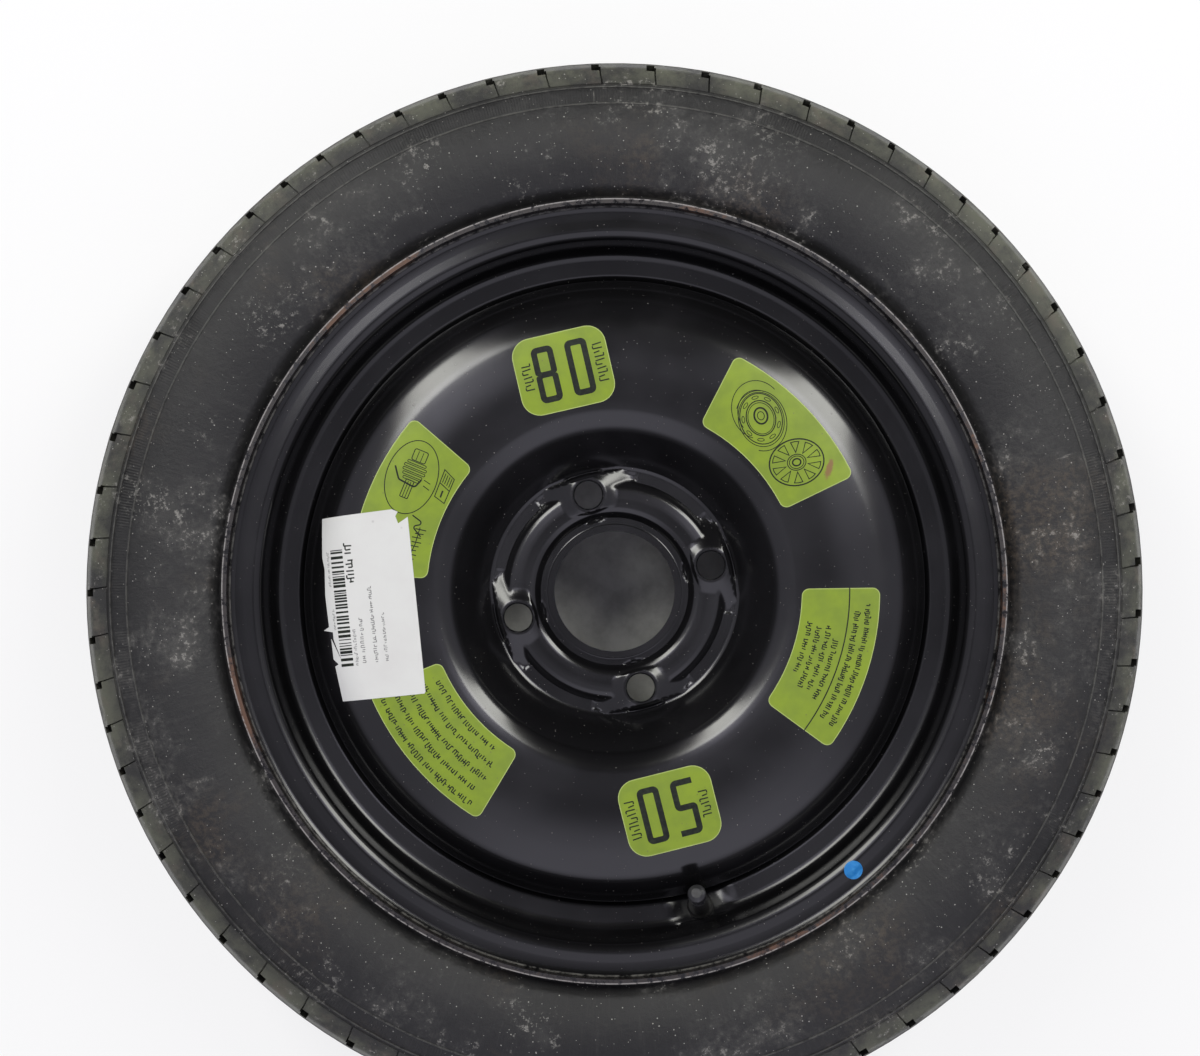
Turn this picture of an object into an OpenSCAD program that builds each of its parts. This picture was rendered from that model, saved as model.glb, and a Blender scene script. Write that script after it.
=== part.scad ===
// Narrow steel spare wheel with its tyre, valve and stickers.
// The wheel lies with its outer side up: +Z is its axis, z = 0 is the face that meets the hub.

/* [Rim] */
// Diameter of the bead seats
bead_d = 380.2; // [378:0.2:383]
// Width between the inner faces of the two flanges
rim_w = 101.6; // [98:0.2:108]
// How far the hub face lies outboard of the rim's middle
hub_offset = 22; // [18:0.5:26]
// Thickness of the rim's sheet
rim_t = 2.6; // [2.2:0.1:3]
// Height of a flange above its bead seat
flange_h = 17.3; // [16.5:0.1:18.5]
// How far a flange's lip curls away from the tyre
lip_reach = 10; // [9:0.5:12]
// Bend of a flange's curl, at the middle of the sheet
curl_bend = 8.2; // [7.4:0.1:8.6]
// Step of a flange's foot towards its lip side
flange_dip = 1.3; // [0.8:0.1:1.8]
// Width of a bead seat
seat_w = 19.5; // [18:0.5:21]
// Slope of a bead seat
seat_taper = 5; // [4:0.5:6]
// Height of the safety hump behind each bead seat
hump_h = 1.2; // [0.8:0.1:1.6]
// Depth of the well below the bead seats
well_depth = 18.6; // [17.8:0.1:19.4]
// How far the well's outer wall lies behind the outer flange
wall_depth = 31; // [30:0.5:33]
// Tilt of the well's outer wall, which carries the valve
wall_tilt = 18; // [15:0.5:20]

/* [Disc] */
// Thickness of the disc's sheet
disc_t = 3.5; // [3:0.1:3.8]
// Diameter of the centre bore
bore_d = 65.1; // [64:0.1:67]
// Height of the turned lip round the bore
lip_h = 9; // [8:0.5:10]
// Diameter of the bolt circle
bolt_pcd = 108; // [107:0.5:110]
// Number of wheel bolts
bolt_count = 4; // [4:1:5]
// Diameter of a bolt hole
bolt_hole_d = 15; // [14:0.1:15.6]
// Rise of the pressed ring that carries the bolt seats
ridge_h = 4.2; // [3.6:0.1:4.8]
// Half the width of the pressed ring
ridge_half = 8.25; // [7.8:0.05:8.6]
// How far the pressed ring's middle lies inside the bolt circle
ridge_inset = 3.85; // [3.4:0.05:4.2]
// Rise of a bolt seat above the pressed ring
seat_rise = 1.8; // [1.2:0.1:2.4]
// Depth of the coined pockets and pads round the bolt seats
coin_depth = 0.9; // [0.5:0.1:1.2]
// Radius where the disc turns up from the hub face
flank_r = 67.5; // [66.8:0.1:68.5]
// Slope of the flank inside the dome
flank_tilt = 50; // [48:0.5:52]
// Radius of the dome's inner shoulder
crown_in_r = 90.5; // [89:0.5:92]
// Rise of the crown past its inner shoulder
crown_rise = 2.2; // [1.6:0.1:2.8]
// Radius of the dome's outer shoulder
crown_out_r = 152.7; // [151:0.1:154]
// Slope of the flank outside the dome
outer_tilt = 60; // [57:0.5:62]
// How far the disc's outer flange reaches behind the hub face
flange_back = 28; // [24:0.5:30]
// Leg of the fillet welds between the disc and the rim
weld_leg = 4; // [3:0.5:5]
// Number of fillet welds
weld_count = 4; // [3:1:6]

/* [Tyre] */
// Outer diameter of the tyre
tyre_d = 570; // [560:1:576]
// Width of the tyre across its sidewalls
section_w = 135; // [130:0.5:140]
// Width of the tread
tread_w = 104; // [98:0.5:108]
// Thickness of the sidewall
side_t = 7.5; // [6:0.5:9]
// Thickness of the tyre under its tread
crown_t = 11; // [10:0.5:13]
// Depth of the tread grooves
groove_depth = 4.5; // [3.5:0.5:5.5]
// Distance between the middles of two tread grooves
groove_pitch = 22.6; // [20:0.2:23]
// Width of the tread grooves
groove_w = 5; // [4:0.5:6]
// Number of slots round each shoulder
slot_count = 66; // [48:1:72]
// Width of a shoulder slot
slot_w = 1.6; // [1.2:0.1:2]
// Depth of a shoulder slot along the tread
slot_len = 13; // [10:0.5:15]

/* [Valve] */
// Radius from the wheel's axis to the valve's seat
valve_r = 177.8; // [177.2:0.1:178.4]
// Diameter of the valve hole
valve_hole_d = 11.5; // [11:0.1:11.8]
// Height of the stem's end above its seat
stem_h = 37; // [35:0.5:39]
// Length of the bare thread at the stem's end
thread_len = 9.2; // [8.5:0.1:10]
// Diameter of the stem's thread
thread_d = 7.7; // [7.5:0.1:7.9]
// Diameter of the valve core's bore in the stem
core_bore_d = 5.3; // [5:0.1:5.6]
// Outer diameter of the cap
cap_d = 9.8; // [9.4:0.1:10.4]
// Thickness of the cap's seal
cap_seal_t = 1; // [0.8:0.1:1.3]

/* [Stickers] */
// Thickness of a sticker
sticker_t = 0.15; // [0.1:0.05:0.2]
// Inner radius of the green stickers
sticker_in_r = 99.5; // [98:0.5:102]
// Outer radius of the green stickers
sticker_out_r = 141; // [139:0.5:143]
// Angle that a pictogram or text sticker covers
sticker_arc = 37; // [34:0.5:39]
// Width of a number sticker across the wheel's radius
number_w = 50.6; // [48:0.2:53]
// Width of the paper label
paper_w = 45; // [42:0.5:48]
// Length of the paper label
paper_len = 99; // [94:0.5:102]
// Diameter of the round paint dot
dot_d = 10; // [9:0.5:11]

/* [Hidden] */

// Clearances: pressed or bonded seats, running fits, and how far a cut passes its surface
seat_gap = 0.05;
run_gap = 0.1;
over = 1;
$fn = 120;
arc_step = 9;
arc_chord = 9;

// Rim: radii at the middle of the sheet, heights along the wheel's axis
rim_mid_z = -hub_offset;
half_w = rim_w / 2;
outer_z = rim_mid_z + half_w + rim_t / 2;
inner_z = rim_mid_z - half_w - rim_t / 2;
root_r = bead_d / 2 - rim_t / 2;
lip_r = root_r + flange_h;
curl_flat = 0.7;
brow_w = 3.4;
valley_r = lip_r - curl_bend - curl_flat;
brow_r = valley_r - brow_w;
root_bend = 2.4;
brow_bend = 3;
seat_bend = 4;
hump_bend = 3;
seat_end_r = root_r - seat_w * tan(seat_taper);
hump_run = 4.6;
well_r = bead_d / 2 - well_depth - rim_t / 2;
wall_top_drop = 6.5;
wall_top_r = root_r - wall_top_drop;
wall_top_z = outer_z - wall_depth;
wall_bend = 4;
well_corner_z = wall_top_z - (wall_top_r - well_r) * tan(wall_tilt);
well_corner_bend = 3;
ramp_depth = 36;
ramp_bend = 8;
ramp_foot_z = inner_z + ramp_depth;

// Disc: the pressed ring, the flanks and the flange that sits in the well
bore_r = bore_d / 2;
pcd_r = bolt_pcd / 2;
land_z = disc_t / 2;
lip_bend = 2.6;
foot_bend = 2;
crown_bend = 200;
ridge_mid_r = pcd_r - ridge_inset;
ridge_in_r = ridge_mid_r - ridge_half;
ridge_out_r = ridge_mid_r + ridge_half;
ridge_tilt = 48;
ridge_peak = ridge_half * tan(ridge_tilt);
ridge_bend = (ridge_peak - ridge_h) / (1 / cos(ridge_tilt) - 1);
crown_in_z = land_z + (crown_in_r - flank_r) * tan(flank_tilt);
crown_mid_r = (crown_in_r + crown_out_r) / 2;
flange_r = well_r - rim_t / 2 - seat_gap - disc_t / 2;
flange_top_z = crown_in_z - (flange_r - crown_out_r) * tan(outer_tilt);
boss_top_z = disc_t + ridge_h + seat_rise;
seat_rim = 1.4;
boss_top_r = bolt_hole_d / 2 + seat_rim + 0.5;
boss_slope = 3.2;
boss_foot_r = boss_top_r + boss_slope;
boss_gap = 1.6;
seat_wall = 2.6;
// Coined land between the ring and the flank: the pockets and pads keep to shares of its width
coin_w = flank_r - ridge_out_r;
flank_bend = 0.55 * coin_w;
pad_in_r = ridge_out_r + 0.22 * coin_w;
pad_out_r = flank_r - 0.27 * coin_w;
pad_from_az = 15;
pad_to_az = 26;
pocket_in_r = ridge_out_r + 0.29 * coin_w;
pocket_out_r = flank_r - 0.165 * coin_w;
pocket_in_az = 14.3;
pocket_out_az = 10;
pocket_end_az = 7;

// Tyre: heights counted from the rim's middle
tread_r = tyre_d / 2;
bulge = section_w / 2;
side_foot_r = bead_d / 2 + flange_h + 2.2;
side_h = tread_r - side_foot_r;
cavity_r = tread_r - crown_t;
bead_w = 14;
tread_bend = 100;
slot_pitch_swing = 1.3;
slot_groups = 5;
slot_depth = 7;

// Valve: heights along its own axis, counted from its seat on the well's wall
valve_az = 270;
valve_z = wall_top_z - (wall_top_r - valve_r) * tan(wall_tilt) + rim_t / 2 / cos(wall_tilt);
valve_hole_r = valve_hole_d / 2;
pad_r = 7.4;
pad_clear = 4;
bulb_len = 10.5;
bulb_r = 6.9;
collar_r = 7;
thread_r = thread_d / 2;
tube_r = 3;
core_r = core_bore_d / 2;
rubber_top = stem_h - thread_len;
stem_back = rim_t + bulb_len - 1.5;
core_len = 13;
barrel_back = stem_h - core_len;
cup_back = barrel_back - 0.8;
pin_r = 0.6;
cap_roof = stem_h + run_gap + cap_seal_t + run_gap;
cap_top = cap_roof + 2.2;

// Stickers: corners, the place and turn of the paper label, and the angle of the paint dot
corner_r = 4;
number_corner_r = 10;
paper_at = [-125, 26.5];
paper_turn = -9.4;
dot_az = 295.4;

// Outlines: corners are [x, y, bend radius], and each line of them is rounded into points
function unit(v) = v / norm(v);
function left(v) = [-v[1], v[0]];
function cross_of(a, b) = a[0] * b[1] - a[1] * b[0];
function flat(c) = [c[0], c[1]];
function run_in(p, i) = unit(flat(p[i]) - flat(p[i - 1]));
function run_out(p, i) = unit(flat(p[i + 1]) - flat(p[i]));
function turned(v, a) = [v[0] * cos(a) - v[1] * sin(a), v[0] * sin(a) + v[1] * cos(a)];
function backwards(p) = [for (i = [len(p) - 1:-1:0]) p[i]];
function polar(r, a) = [r * cos(a), r * sin(a)];

// One corner of a line after the line moves by d to its left
function moved_corner(p, i, d) =
    let (
        u = i == 0 ? run_out(p, i) : run_in(p, i),
        v = i == len(p) - 1 ? run_in(p, i) : run_out(p, i),
        side = (left(u) + left(v)) / (1 + u * v)
    )
    [p[i][0] + d * side[0], p[i][1] + d * side[1], max(0, p[i][2] - sign(cross_of(u, v)) * d)];
function moved(p, d) = [for (i = [0:len(p) - 1]) moved_corner(p, i, d)];

// The points of one rounded corner
function bend_points(c, u, v) =
    let (
        half = acos(u * v) / 2,
        start = flat(c) - u * c[2] * tan(half),
        hub = start + left(u) * c[2] * sign(cross_of(u, v)),
        n = ceil(max(2 * half / arc_step, c[2] * half * PI / 90 / arc_chord))
    )
    [for (k = [0:n]) hub + turned(start - hub, sign(cross_of(u, v)) * 2 * half * k / n)];
function rounded(p) = [
    for (i = [0:len(p) - 1])
        each i == 0 || i == len(p) - 1 || p[i][2] <= 0
            ? [flat(p[i])]
            : bend_points(p[i], run_in(p, i), run_out(p, i))
];
function sheet(p, t) = concat(rounded(moved(p, t / 2)), backwards(rounded(moved(p, -t / 2))));

// Half of the rim's line, from a lip over its bead seat to its hump; side is 1 outboard, -1 inboard
function flange_line(z, side) = [
    [lip_r, z + side * lip_reach, 0],
    [lip_r, z, curl_bend],
    [valley_r, z, brow_bend],
    [brow_r, z + side * flange_dip, brow_bend],
    [root_r, z + side * flange_dip, root_bend],
    [seat_end_r, z - side * seat_w, seat_bend],
    [seat_end_r + hump_h, z - side * (seat_w + hump_run), hump_bend]
];
rim_line = concat(
    flange_line(outer_z, 1),
    [
        [wall_top_r, wall_top_z, wall_bend], [well_r, well_corner_z, well_corner_bend],
        [well_r, ramp_foot_z, ramp_bend]
    ],
    backwards(flange_line(inner_z, -1))
);
disc_line = [
    [bore_r + disc_t / 2, lip_h, 0],
    [bore_r + disc_t / 2, land_z, lip_bend],
    [ridge_in_r, land_z, foot_bend],
    [ridge_mid_r, land_z + ridge_peak, ridge_bend],
    [ridge_out_r, land_z, foot_bend],
    [flank_r, land_z, flank_bend],
    [crown_in_r, crown_in_z, 15],
    [crown_mid_r, crown_in_z + crown_rise, crown_bend],
    [crown_out_r, crown_in_z, 22],
    [flange_r, flange_top_z, 10],
    [flange_r, -flange_back, 0]
];

module at_valve() {
    rotate([0, 0, valve_az]) translate([valve_r, 0, valve_z]) rotate([0, -wall_tilt, 0]) children();
}

module at_bolts() {
    for (i = [0:bolt_count - 1]) rotate([0, 0, 360 / bolt_count * i]) children();
}

module turned_part(points) {
    rotate_extrude() polygon(points);
}

// Rolled rim: two flanges, two bead seats with humps, and the well that takes the disc
module rim() {
    color("#1c1b20") difference() {
        union() {
            turned_part(sheet(rim_line, rim_t));
            at_valve() translate([0, 0, -rim_t]) cylinder(h = rim_t, r = pad_r);
        }
        at_valve() {
            translate([0, 0, -rim_t - over]) cylinder(h = rim_t + 2 * over, r = valve_hole_r);
            cylinder(h = pad_clear, r = pad_r);
            translate([0, 0, -rim_t - bulb_len]) cylinder(h = bulb_len, r = bulb_r + run_gap);
        }
    }
}

// Pressed disc: turned-up bore lip, raised ring with four bolt seats, dome and welding flange
module bolt_pocket() {
    half = [
        polar(ridge_out_r - boss_gap, pocket_in_az), polar(pocket_in_r, pocket_in_az),
        polar(pad_out_r, pocket_out_az), polar(pocket_out_r, pocket_end_az)
    ];
    translate([0, 0, disc_t - coin_depth]) linear_extrude(ridge_h + seat_rise + over) difference() {
        intersection() {
            union() {
                translate([pcd_r, 0]) circle(r = boss_foot_r + boss_gap);
                polygon(concat(half, [for (c = backwards(half)) [c[0], -c[1]]]));
            }
            circle(r = pocket_out_r + 0.5);
        }
        difference() {
            circle(r = ridge_out_r - boss_gap);
            circle(r = ridge_in_r + boss_gap);
        }
    }
}

// Flat pads coined into the land outside the ring, one on each side of a bolt seat
module coined_pads() {
    steps = 4;
    for (side = [-1, 1]) translate([0, 0, disc_t - coin_depth / 2]) linear_extrude(over) polygon([
        polar(pad_in_r, side * pad_from_az), polar(pad_in_r, side * pad_to_az),
        for (k = [steps:-1:0]) polar(pad_out_r, side * (pad_from_az + (pad_to_az - pad_from_az) * k / steps))
    ]);
}

module bolt_seat() {
    foot_z = disc_t - coin_depth - 0.6;
    translate([pcd_r, 0, foot_z]) cylinder(h = boss_top_z - foot_z, r1 = boss_foot_r, r2 = boss_top_r);
}

module wheel_disc() {
    recess_h = boss_top_z - seat_rim - seat_wall;
    color("#1c1b20") difference() {
        union() {
            difference() {
                turned_part(sheet(disc_line, disc_t));
                at_bolts() {
                    bolt_pocket();
                    coined_pads();
                }
            }
            at_bolts() bolt_seat();
        }
        at_bolts() translate([pcd_r, 0, 0]) {
            translate([0, 0, -over]) cylinder(h = boss_top_z + 2 * over, r = bolt_hole_d / 2);
            translate([0, 0, boss_top_z - seat_rim])
                cylinder(h = seat_rim + 0.01, r1 = bolt_hole_d / 2, r2 = bolt_hole_d / 2 + seat_rim);
            translate([0, 0, -0.01])
                cylinder(h = recess_h, r1 = boss_foot_r - disc_t + boss_gap, r2 = bolt_hole_d / 2);
        }
    }
}

// Fillet welds on the inboard side, between the disc's flange and the well
module disc_welds() {
    weld_arc = 180 / weld_count;
    weld_r = well_r - rim_t / 2 - seat_gap;
    color("#26252a") for (i = [0:weld_count - 1]) rotate([0, 0, 360 / weld_count * (i + 0.25)])
        rotate_extrude(angle = weld_arc) polygon([
            [weld_r, -flange_back - weld_leg], [weld_r, -flange_back - seat_gap],
            [weld_r - disc_t * 0.9, -flange_back - seat_gap],
            [weld_r - disc_t * 0.75, -flange_back - weld_leg * 0.55]
        ]);
}

// Tyre: moulded in one piece, cut to the rim's own outline where its beads seat
// A point at a share of the free sidewall's height, pushed out from its line and bent by such shares
function side_point(up, out, line, bend) = [side_foot_r + up * side_h, line + out * side_h, bend * side_h];
function tyre_outside() = [
    [bead_d / 2 - 8, half_w + 2, 0],
    [bead_d / 2 + flange_h - 3.3, half_w + 2, 3],
    [side_foot_r, half_w + 4.6, 2],
    side_point(0.06, -0.079, bulge, 0.093),
    side_point(0.371, 0.043, bulge, 0.667),
    side_point(0.722, -0.093, bulge, 0.186),
    [tread_r - 6.5, tread_w / 2 + 1, 5],
    [tread_r - 2.2, tread_w / 2 - 10, 20]
];
function tyre_inside() = [
    [bead_d / 2 - 8, half_w - bead_w, 0],
    [bead_d / 2 + 6, half_w - bead_w + 2, 6],
    side_point(0.06, -0.106, bulge - side_t, 0.159),
    side_point(0.371, 0.031, bulge - side_t, 0.529),
    side_point(0.695, -0.093, bulge - side_t, 0.186),
    [cavity_r - 1, tread_w / 2 - 16, 18]
];
// Both halves of a line that is the same inboard and outboard, joined by its middle point
function both_sides(half, middle) = concat(half, [middle], [for (c = backwards(half)) [c[0], -c[1], c[2]]]);

module tyre_section() {
    outside = both_sides(tyre_outside(), [tread_r, 0, tread_bend]);
    inside = both_sides(tyre_inside(), [cavity_r, 0, tread_bend]);
    difference() {
        translate([0, rim_mid_z]) polygon(concat(rounded(outside), backwards(rounded(inside))));
        polygon(concat(
            rounded(moved(rim_line, rim_t / 2 + seat_gap)),
            [[well_r / 2, inner_z - lip_reach], [well_r / 2, outer_z + lip_reach]]
        ));
        for (row = [-1.5:1:1.5])
            translate([tread_r - groove_depth, rim_mid_z + row * groove_pitch - groove_w / 2])
                square([groove_depth + over, groove_w]);
    }
}

module tyre() {
    color("#3b3a38") difference() {
        rotate_extrude() tyre_section();
        for (i = [0:slot_count - 1], side = [-1, 1]) {
            az = 360 / slot_count * i + slot_pitch_swing * sin(360 * slot_groups / slot_count * i);
            slot_z = rim_mid_z + side * tread_w / 2 - slot_len / 2;
            rotate([0, 0, az]) translate([tread_r - slot_depth, -slot_w / 2, slot_z])
                cube([slot_depth + over, slot_w, slot_len]);
        }
    }
}

// Snap-in valve: moulded rubber body with its bulb behind the rim
module valve_body() {
    back = -rim_t - bulb_len;
    color("#222224") at_valve() turned_part(rounded([
        [tube_r + seat_gap, back, 0],
        [bulb_r, back, 1.2],
        [bulb_r - 0.9, -rim_t - seat_gap, 0],
        [valve_hole_r - seat_gap, -rim_t - seat_gap, 0],
        [valve_hole_r - seat_gap, seat_gap, 0],
        [collar_r, seat_gap, 0.7],
        [collar_r, 2.6, 0.9],
        [6, 5, 3],
        [thread_r + 1, rubber_top, 0.8],
        [thread_r + seat_gap, rubber_top, 0],
        [thread_r + seat_gap, rubber_top - 4, 0],
        [tube_r + seat_gap, rubber_top - 4.8, 0],
        [tube_r + seat_gap, back, 0]
    ]));
}

module valve_stem() {
    color("#a58a4c") at_valve() turned_part([
        [tube_r, -stem_back], [tube_r, rubber_top - 4.8], [thread_r, rubber_top - 4],
        [thread_r, stem_h - 0.5], [thread_r - 0.5, stem_h], [core_r, stem_h],
        [core_r, barrel_back + 1.2], [core_r - 0.7, barrel_back], [core_r - 0.7, cup_back - 4],
        [1.4, cup_back - 5], [1.4, -stem_back]
    ]);
}

// Valve core: threaded barrel, sprung pin and the two seals
module core_barrel() {
    front = stem_h - 0.6;
    color("#b39a5e") at_valve() turned_part([
        [0.85, barrel_back], [core_r - 0.9, barrel_back], [core_r - 0.9, barrel_back + 6],
        [core_r - seat_gap, barrel_back + 6], [core_r - seat_gap, front], [0.85, front], [0.85, front - 1.8],
        [1.5, front - 1.8], [1.5, barrel_back + 1.4], [0.85, barrel_back + 1.4]
    ]);
}

module core_barrel_seal() {
    color("#8c3a32") at_valve() turned_part([
        [core_r - 0.9 + seat_gap, barrel_back + 2.5], [core_r - seat_gap, barrel_back + 2.5],
        [core_r - seat_gap, barrel_back + 4.5], [core_r - 0.9 + seat_gap, barrel_back + 4.5]
    ]);
}

module core_pin() {
    collar = stem_h - 3.4;
    color("#c9c9c6") at_valve() turned_part([
        [0, cup_back - 0.9], [1.35, cup_back - 0.9], [1.35, cup_back], [pin_r, cup_back],
        [pin_r, collar - 0.7], [1.35, collar - 0.7], [1.35, collar], [pin_r, collar],
        [pin_r, stem_h - 0.4], [pin_r - 0.2, stem_h - 0.1], [0, stem_h - 0.1]
    ]);
}

module core_cup_seal() {
    color("#2b2b2b") at_valve() turned_part([
        [pin_r + 0.02, cup_back + 0.02], [1.4, cup_back + 0.02], [1.4, barrel_back - 0.03],
        [pin_r + 0.02, barrel_back - 0.03]
    ]);
}

module core_spring() {
    low = barrel_back + 1.45;
    high = stem_h - 3.4 - 0.75;
    color("#c9c9c6") at_valve() translate([0, 0, low])
        linear_extrude(height = high - low, twist = -360 * 4, slices = 48, $fn = 6)
            translate([1.08, 0]) circle(r = 0.26);
}

// Cap: screws down over the thread, with a seal under its roof
module valve_cap() {
    grip_count = 18;
    grip_len = 8.2;
    cap_foot = rubber_top + 0.3;
    color("#2a2a2c") at_valve() difference() {
        turned_part(concat(
            [[thread_r + seat_gap, cap_foot]],
            rounded([
                [cap_d / 2 - 0.8, cap_foot, 0], [cap_d / 2, cap_foot + 0.8, 0],
                [cap_d / 2, cap_top - 1.4, 1.5], [2.6, cap_top, 0.8], [0, cap_top, 0]
            ]),
            [[0, cap_roof], [thread_r + seat_gap, cap_roof]]
        ));
        for (i = [0:grip_count - 1]) rotate([0, 0, 360 / grip_count * i])
            translate([cap_d / 2 + 0.35, 0, rubber_top]) cylinder(h = grip_len, r = 0.62, $fn = 24);
    }
}

module valve_cap_seal() {
    color("#5a5a58") at_valve() translate([0, 0, stem_h + run_gap]) difference() {
        cylinder(h = cap_seal_t, r = thread_r - 0.25);
        translate([0, 0, -over]) cylinder(h = cap_seal_t + 2 * over, r = 1.5);
    }
}

// Stickers: a thin layer of the disc's own outer surface, cut to the sticker's outline
module dome_layer(from, t, in_r, out_r) {
    function band(d) = [
        for (p = rounded(moved(disc_line, disc_t / 2 + d))) if (p[0] > in_r && p[0] < out_r) p
    ];
    turned_part(concat(band(from), backwards(band(from + t))));
}

module dome_sticker(az, layer = 0) {
    from = seat_gap + layer * (sticker_t + seat_gap);
    intersection() {
        dome_layer(from, sticker_t, sticker_in_r - 12, sticker_out_r + 22);
        rotate([0, 0, az]) linear_extrude(60) children();
    }
}

// Outline of a sticker that follows the wheel's round: two arcs joined by two straight sides
module sector_outline() {
    h = sticker_arc / 2;
    // Angle by which a rounded corner moves in along the inner and the outer arc
    a_in = asin(corner_r / (sticker_in_r + corner_r));
    a_out = asin(corner_r / (sticker_out_r - corner_r));
    function corner(r, a, from) = [for (k = [0:4]) polar(r, a) + polar(corner_r, from + 22.5 * k)];
    polygon(concat(
        corner(sticker_out_r - corner_r, -h + a_out, -h - 90),
        [for (k = [1:7]) polar(sticker_out_r, -h + a_out + (sticker_arc - 2 * a_out) * k / 8)],
        corner(sticker_out_r - corner_r, h - a_out, h),
        corner(sticker_in_r + corner_r, h - a_in, h + 90),
        [for (k = [7:-1:1]) polar(sticker_in_r, -h + a_in + (sticker_arc - 2 * a_in) * k / 8)],
        corner(sticker_in_r + corner_r, -h + a_in, -h + 180)
    ));
}

module number_outline() {
    function corner(x, y, from) = [
        for (k = [0:6]) [x, y] + polar(number_corner_r, from + 15 * k)
    ];
    half_h = number_w / 2 - number_corner_r;
    polygon(concat(
        corner(sticker_out_r - number_corner_r, half_h, 0),
        corner(sticker_in_r + number_corner_r, half_h, 90),
        corner(sticker_in_r + number_corner_r, -half_h, 180),
        corner(sticker_out_r - number_corner_r, -half_h, 270)
    ));
}

module number_sticker_high() {
    color("#a4be32") dome_sticker(87.8) number_outline();
}

module number_sticker_low() {
    color("#a4be32") dome_sticker(268.9) number_outline();
}

module wheel_sticker() {
    color("#a4be32") dome_sticker(29.1) sector_outline();
}

module tool_sticker() {
    color("#a4be32") dome_sticker(142.4) sector_outline();
}

module text_sticker() {
    color("#a4be32") dome_sticker(205.4) sector_outline();
}

module two_part_sticker() {
    color("#a4be32") dome_sticker(327.1) sector_outline();
}

// Paper label across two stickers: a torn notch at its inner top corner, its outer long edge torn
// A place on the label is a share of half its width and of half its length
module paper_label() {
    corners = [
        [0.973, -1], [1, -0.98], [1, 0.903], [0.76, 0.842], [0.711, 0.923], [0.778, 0.968], [0.644, 1],
        [-1.067, 0.98], [-1.133, 0.556], [-1.098, 0.434], [-1.142, 0.152], [-1.124, -0.188],
        [-1.267, -0.222], [-1.044, -0.248], [-1.044, -0.327], [-0.898, -0.564], [-1.102, -0.317],
        [-1.098, -0.539], [-0.987, -0.596], [-1.076, -0.618], [-0.987, -1]
    ];
    color("#e6e6e2") dome_sticker(0, 1) translate(paper_at) rotate(paper_turn)
        polygon([for (c = corners) [c[0] * paper_w / 2, c[1] * paper_len / 2]]);
}

// Round spot of paint on the outer flange, which marks where the tyre is mounted
module paint_dot() {
    dot_r = brow_r + 1;
    low_z = outer_z - rim_t;
    function band(d) = [
        for (p = rounded(moved(rim_line, -rim_t / 2 - d))) if (p[0] > dot_r - dot_d && p[1] > low_z) p
    ];
    color("#3690d2") intersection() {
        turned_part(concat(band(seat_gap), backwards(band(seat_gap + sticker_t))));
        rotate([0, 0, dot_az]) translate([dot_r, 0, outer_z - lip_reach])
            cylinder(h = 2 * lip_reach, r = dot_d / 2);
    }
}

tyre();
rim();
wheel_disc();
disc_welds();
valve_body();
valve_stem();
core_barrel();
core_barrel_seal();
core_pin();
core_cup_seal();
core_spring();
valve_cap();
valve_cap_seal();
number_sticker_high();
number_sticker_low();
wheel_sticker();
tool_sticker();
text_sticker();
two_part_sticker();
paper_label();
paint_dot();
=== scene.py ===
import math
import random

import bmesh
import bpy
from mathutils import Matrix, Vector


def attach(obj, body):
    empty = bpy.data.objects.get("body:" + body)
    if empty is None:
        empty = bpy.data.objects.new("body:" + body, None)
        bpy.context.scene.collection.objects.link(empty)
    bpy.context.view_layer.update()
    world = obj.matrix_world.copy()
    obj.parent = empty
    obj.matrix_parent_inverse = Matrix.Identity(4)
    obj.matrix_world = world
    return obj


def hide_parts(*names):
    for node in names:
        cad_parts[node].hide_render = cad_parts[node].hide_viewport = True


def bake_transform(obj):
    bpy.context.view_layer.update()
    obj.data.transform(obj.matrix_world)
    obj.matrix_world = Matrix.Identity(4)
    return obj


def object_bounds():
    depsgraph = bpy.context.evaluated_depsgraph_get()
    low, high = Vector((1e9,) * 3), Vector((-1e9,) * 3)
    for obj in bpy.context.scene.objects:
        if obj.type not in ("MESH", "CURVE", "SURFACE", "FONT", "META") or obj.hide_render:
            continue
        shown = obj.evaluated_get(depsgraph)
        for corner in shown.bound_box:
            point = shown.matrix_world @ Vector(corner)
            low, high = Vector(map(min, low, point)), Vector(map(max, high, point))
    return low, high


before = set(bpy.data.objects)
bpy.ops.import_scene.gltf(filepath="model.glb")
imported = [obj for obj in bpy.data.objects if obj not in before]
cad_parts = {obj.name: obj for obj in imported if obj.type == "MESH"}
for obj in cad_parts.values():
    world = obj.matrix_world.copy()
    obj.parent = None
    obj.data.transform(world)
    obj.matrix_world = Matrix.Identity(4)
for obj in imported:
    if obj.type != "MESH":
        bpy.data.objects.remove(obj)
cad_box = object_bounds()

# Rim: two flanges, two bead seats and the well, rolled from one strip of 2.6 mm steel.
# Its section is drawn once and spun about the wheel's axis. It is painted black, and the paint has
# worn and rusted along the curled lips; two light lines along each lip are painted highlights, the outer one
# partly bare metal.
MM = 0.001
RIM_THICK = 2.6
RIM_MIDDLE = -22.0
FLANGE_Z = 30.1
LIP_R = 206.1
LIP_REACH = 10.0


def part_points(corners, way):
    """Corners of a line after it moves sideways by way, each (radius, height, bend)."""
    moved = []
    for i, (r, z, bend) in enumerate(corners):
        here = Vector((r, z))
        before = (here - Vector(corners[i - 1][:2])).normalized() if i else None
        after = (Vector(corners[i + 1][:2]) - here).normalized() if i < len(corners) - 1 else before
        before = before or after
        turn = before.cross(after)
        left = Vector((-before.y, before.x)) + Vector((-after.y, after.x))
        here = here + left * (way / (1 + before.dot(after)))
        if abs(turn) > 1e-6:
            bend = max(0.0, bend - way * math.copysign(1, turn))
        moved.append((here.x, here.y, bend))
    return moved


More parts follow.
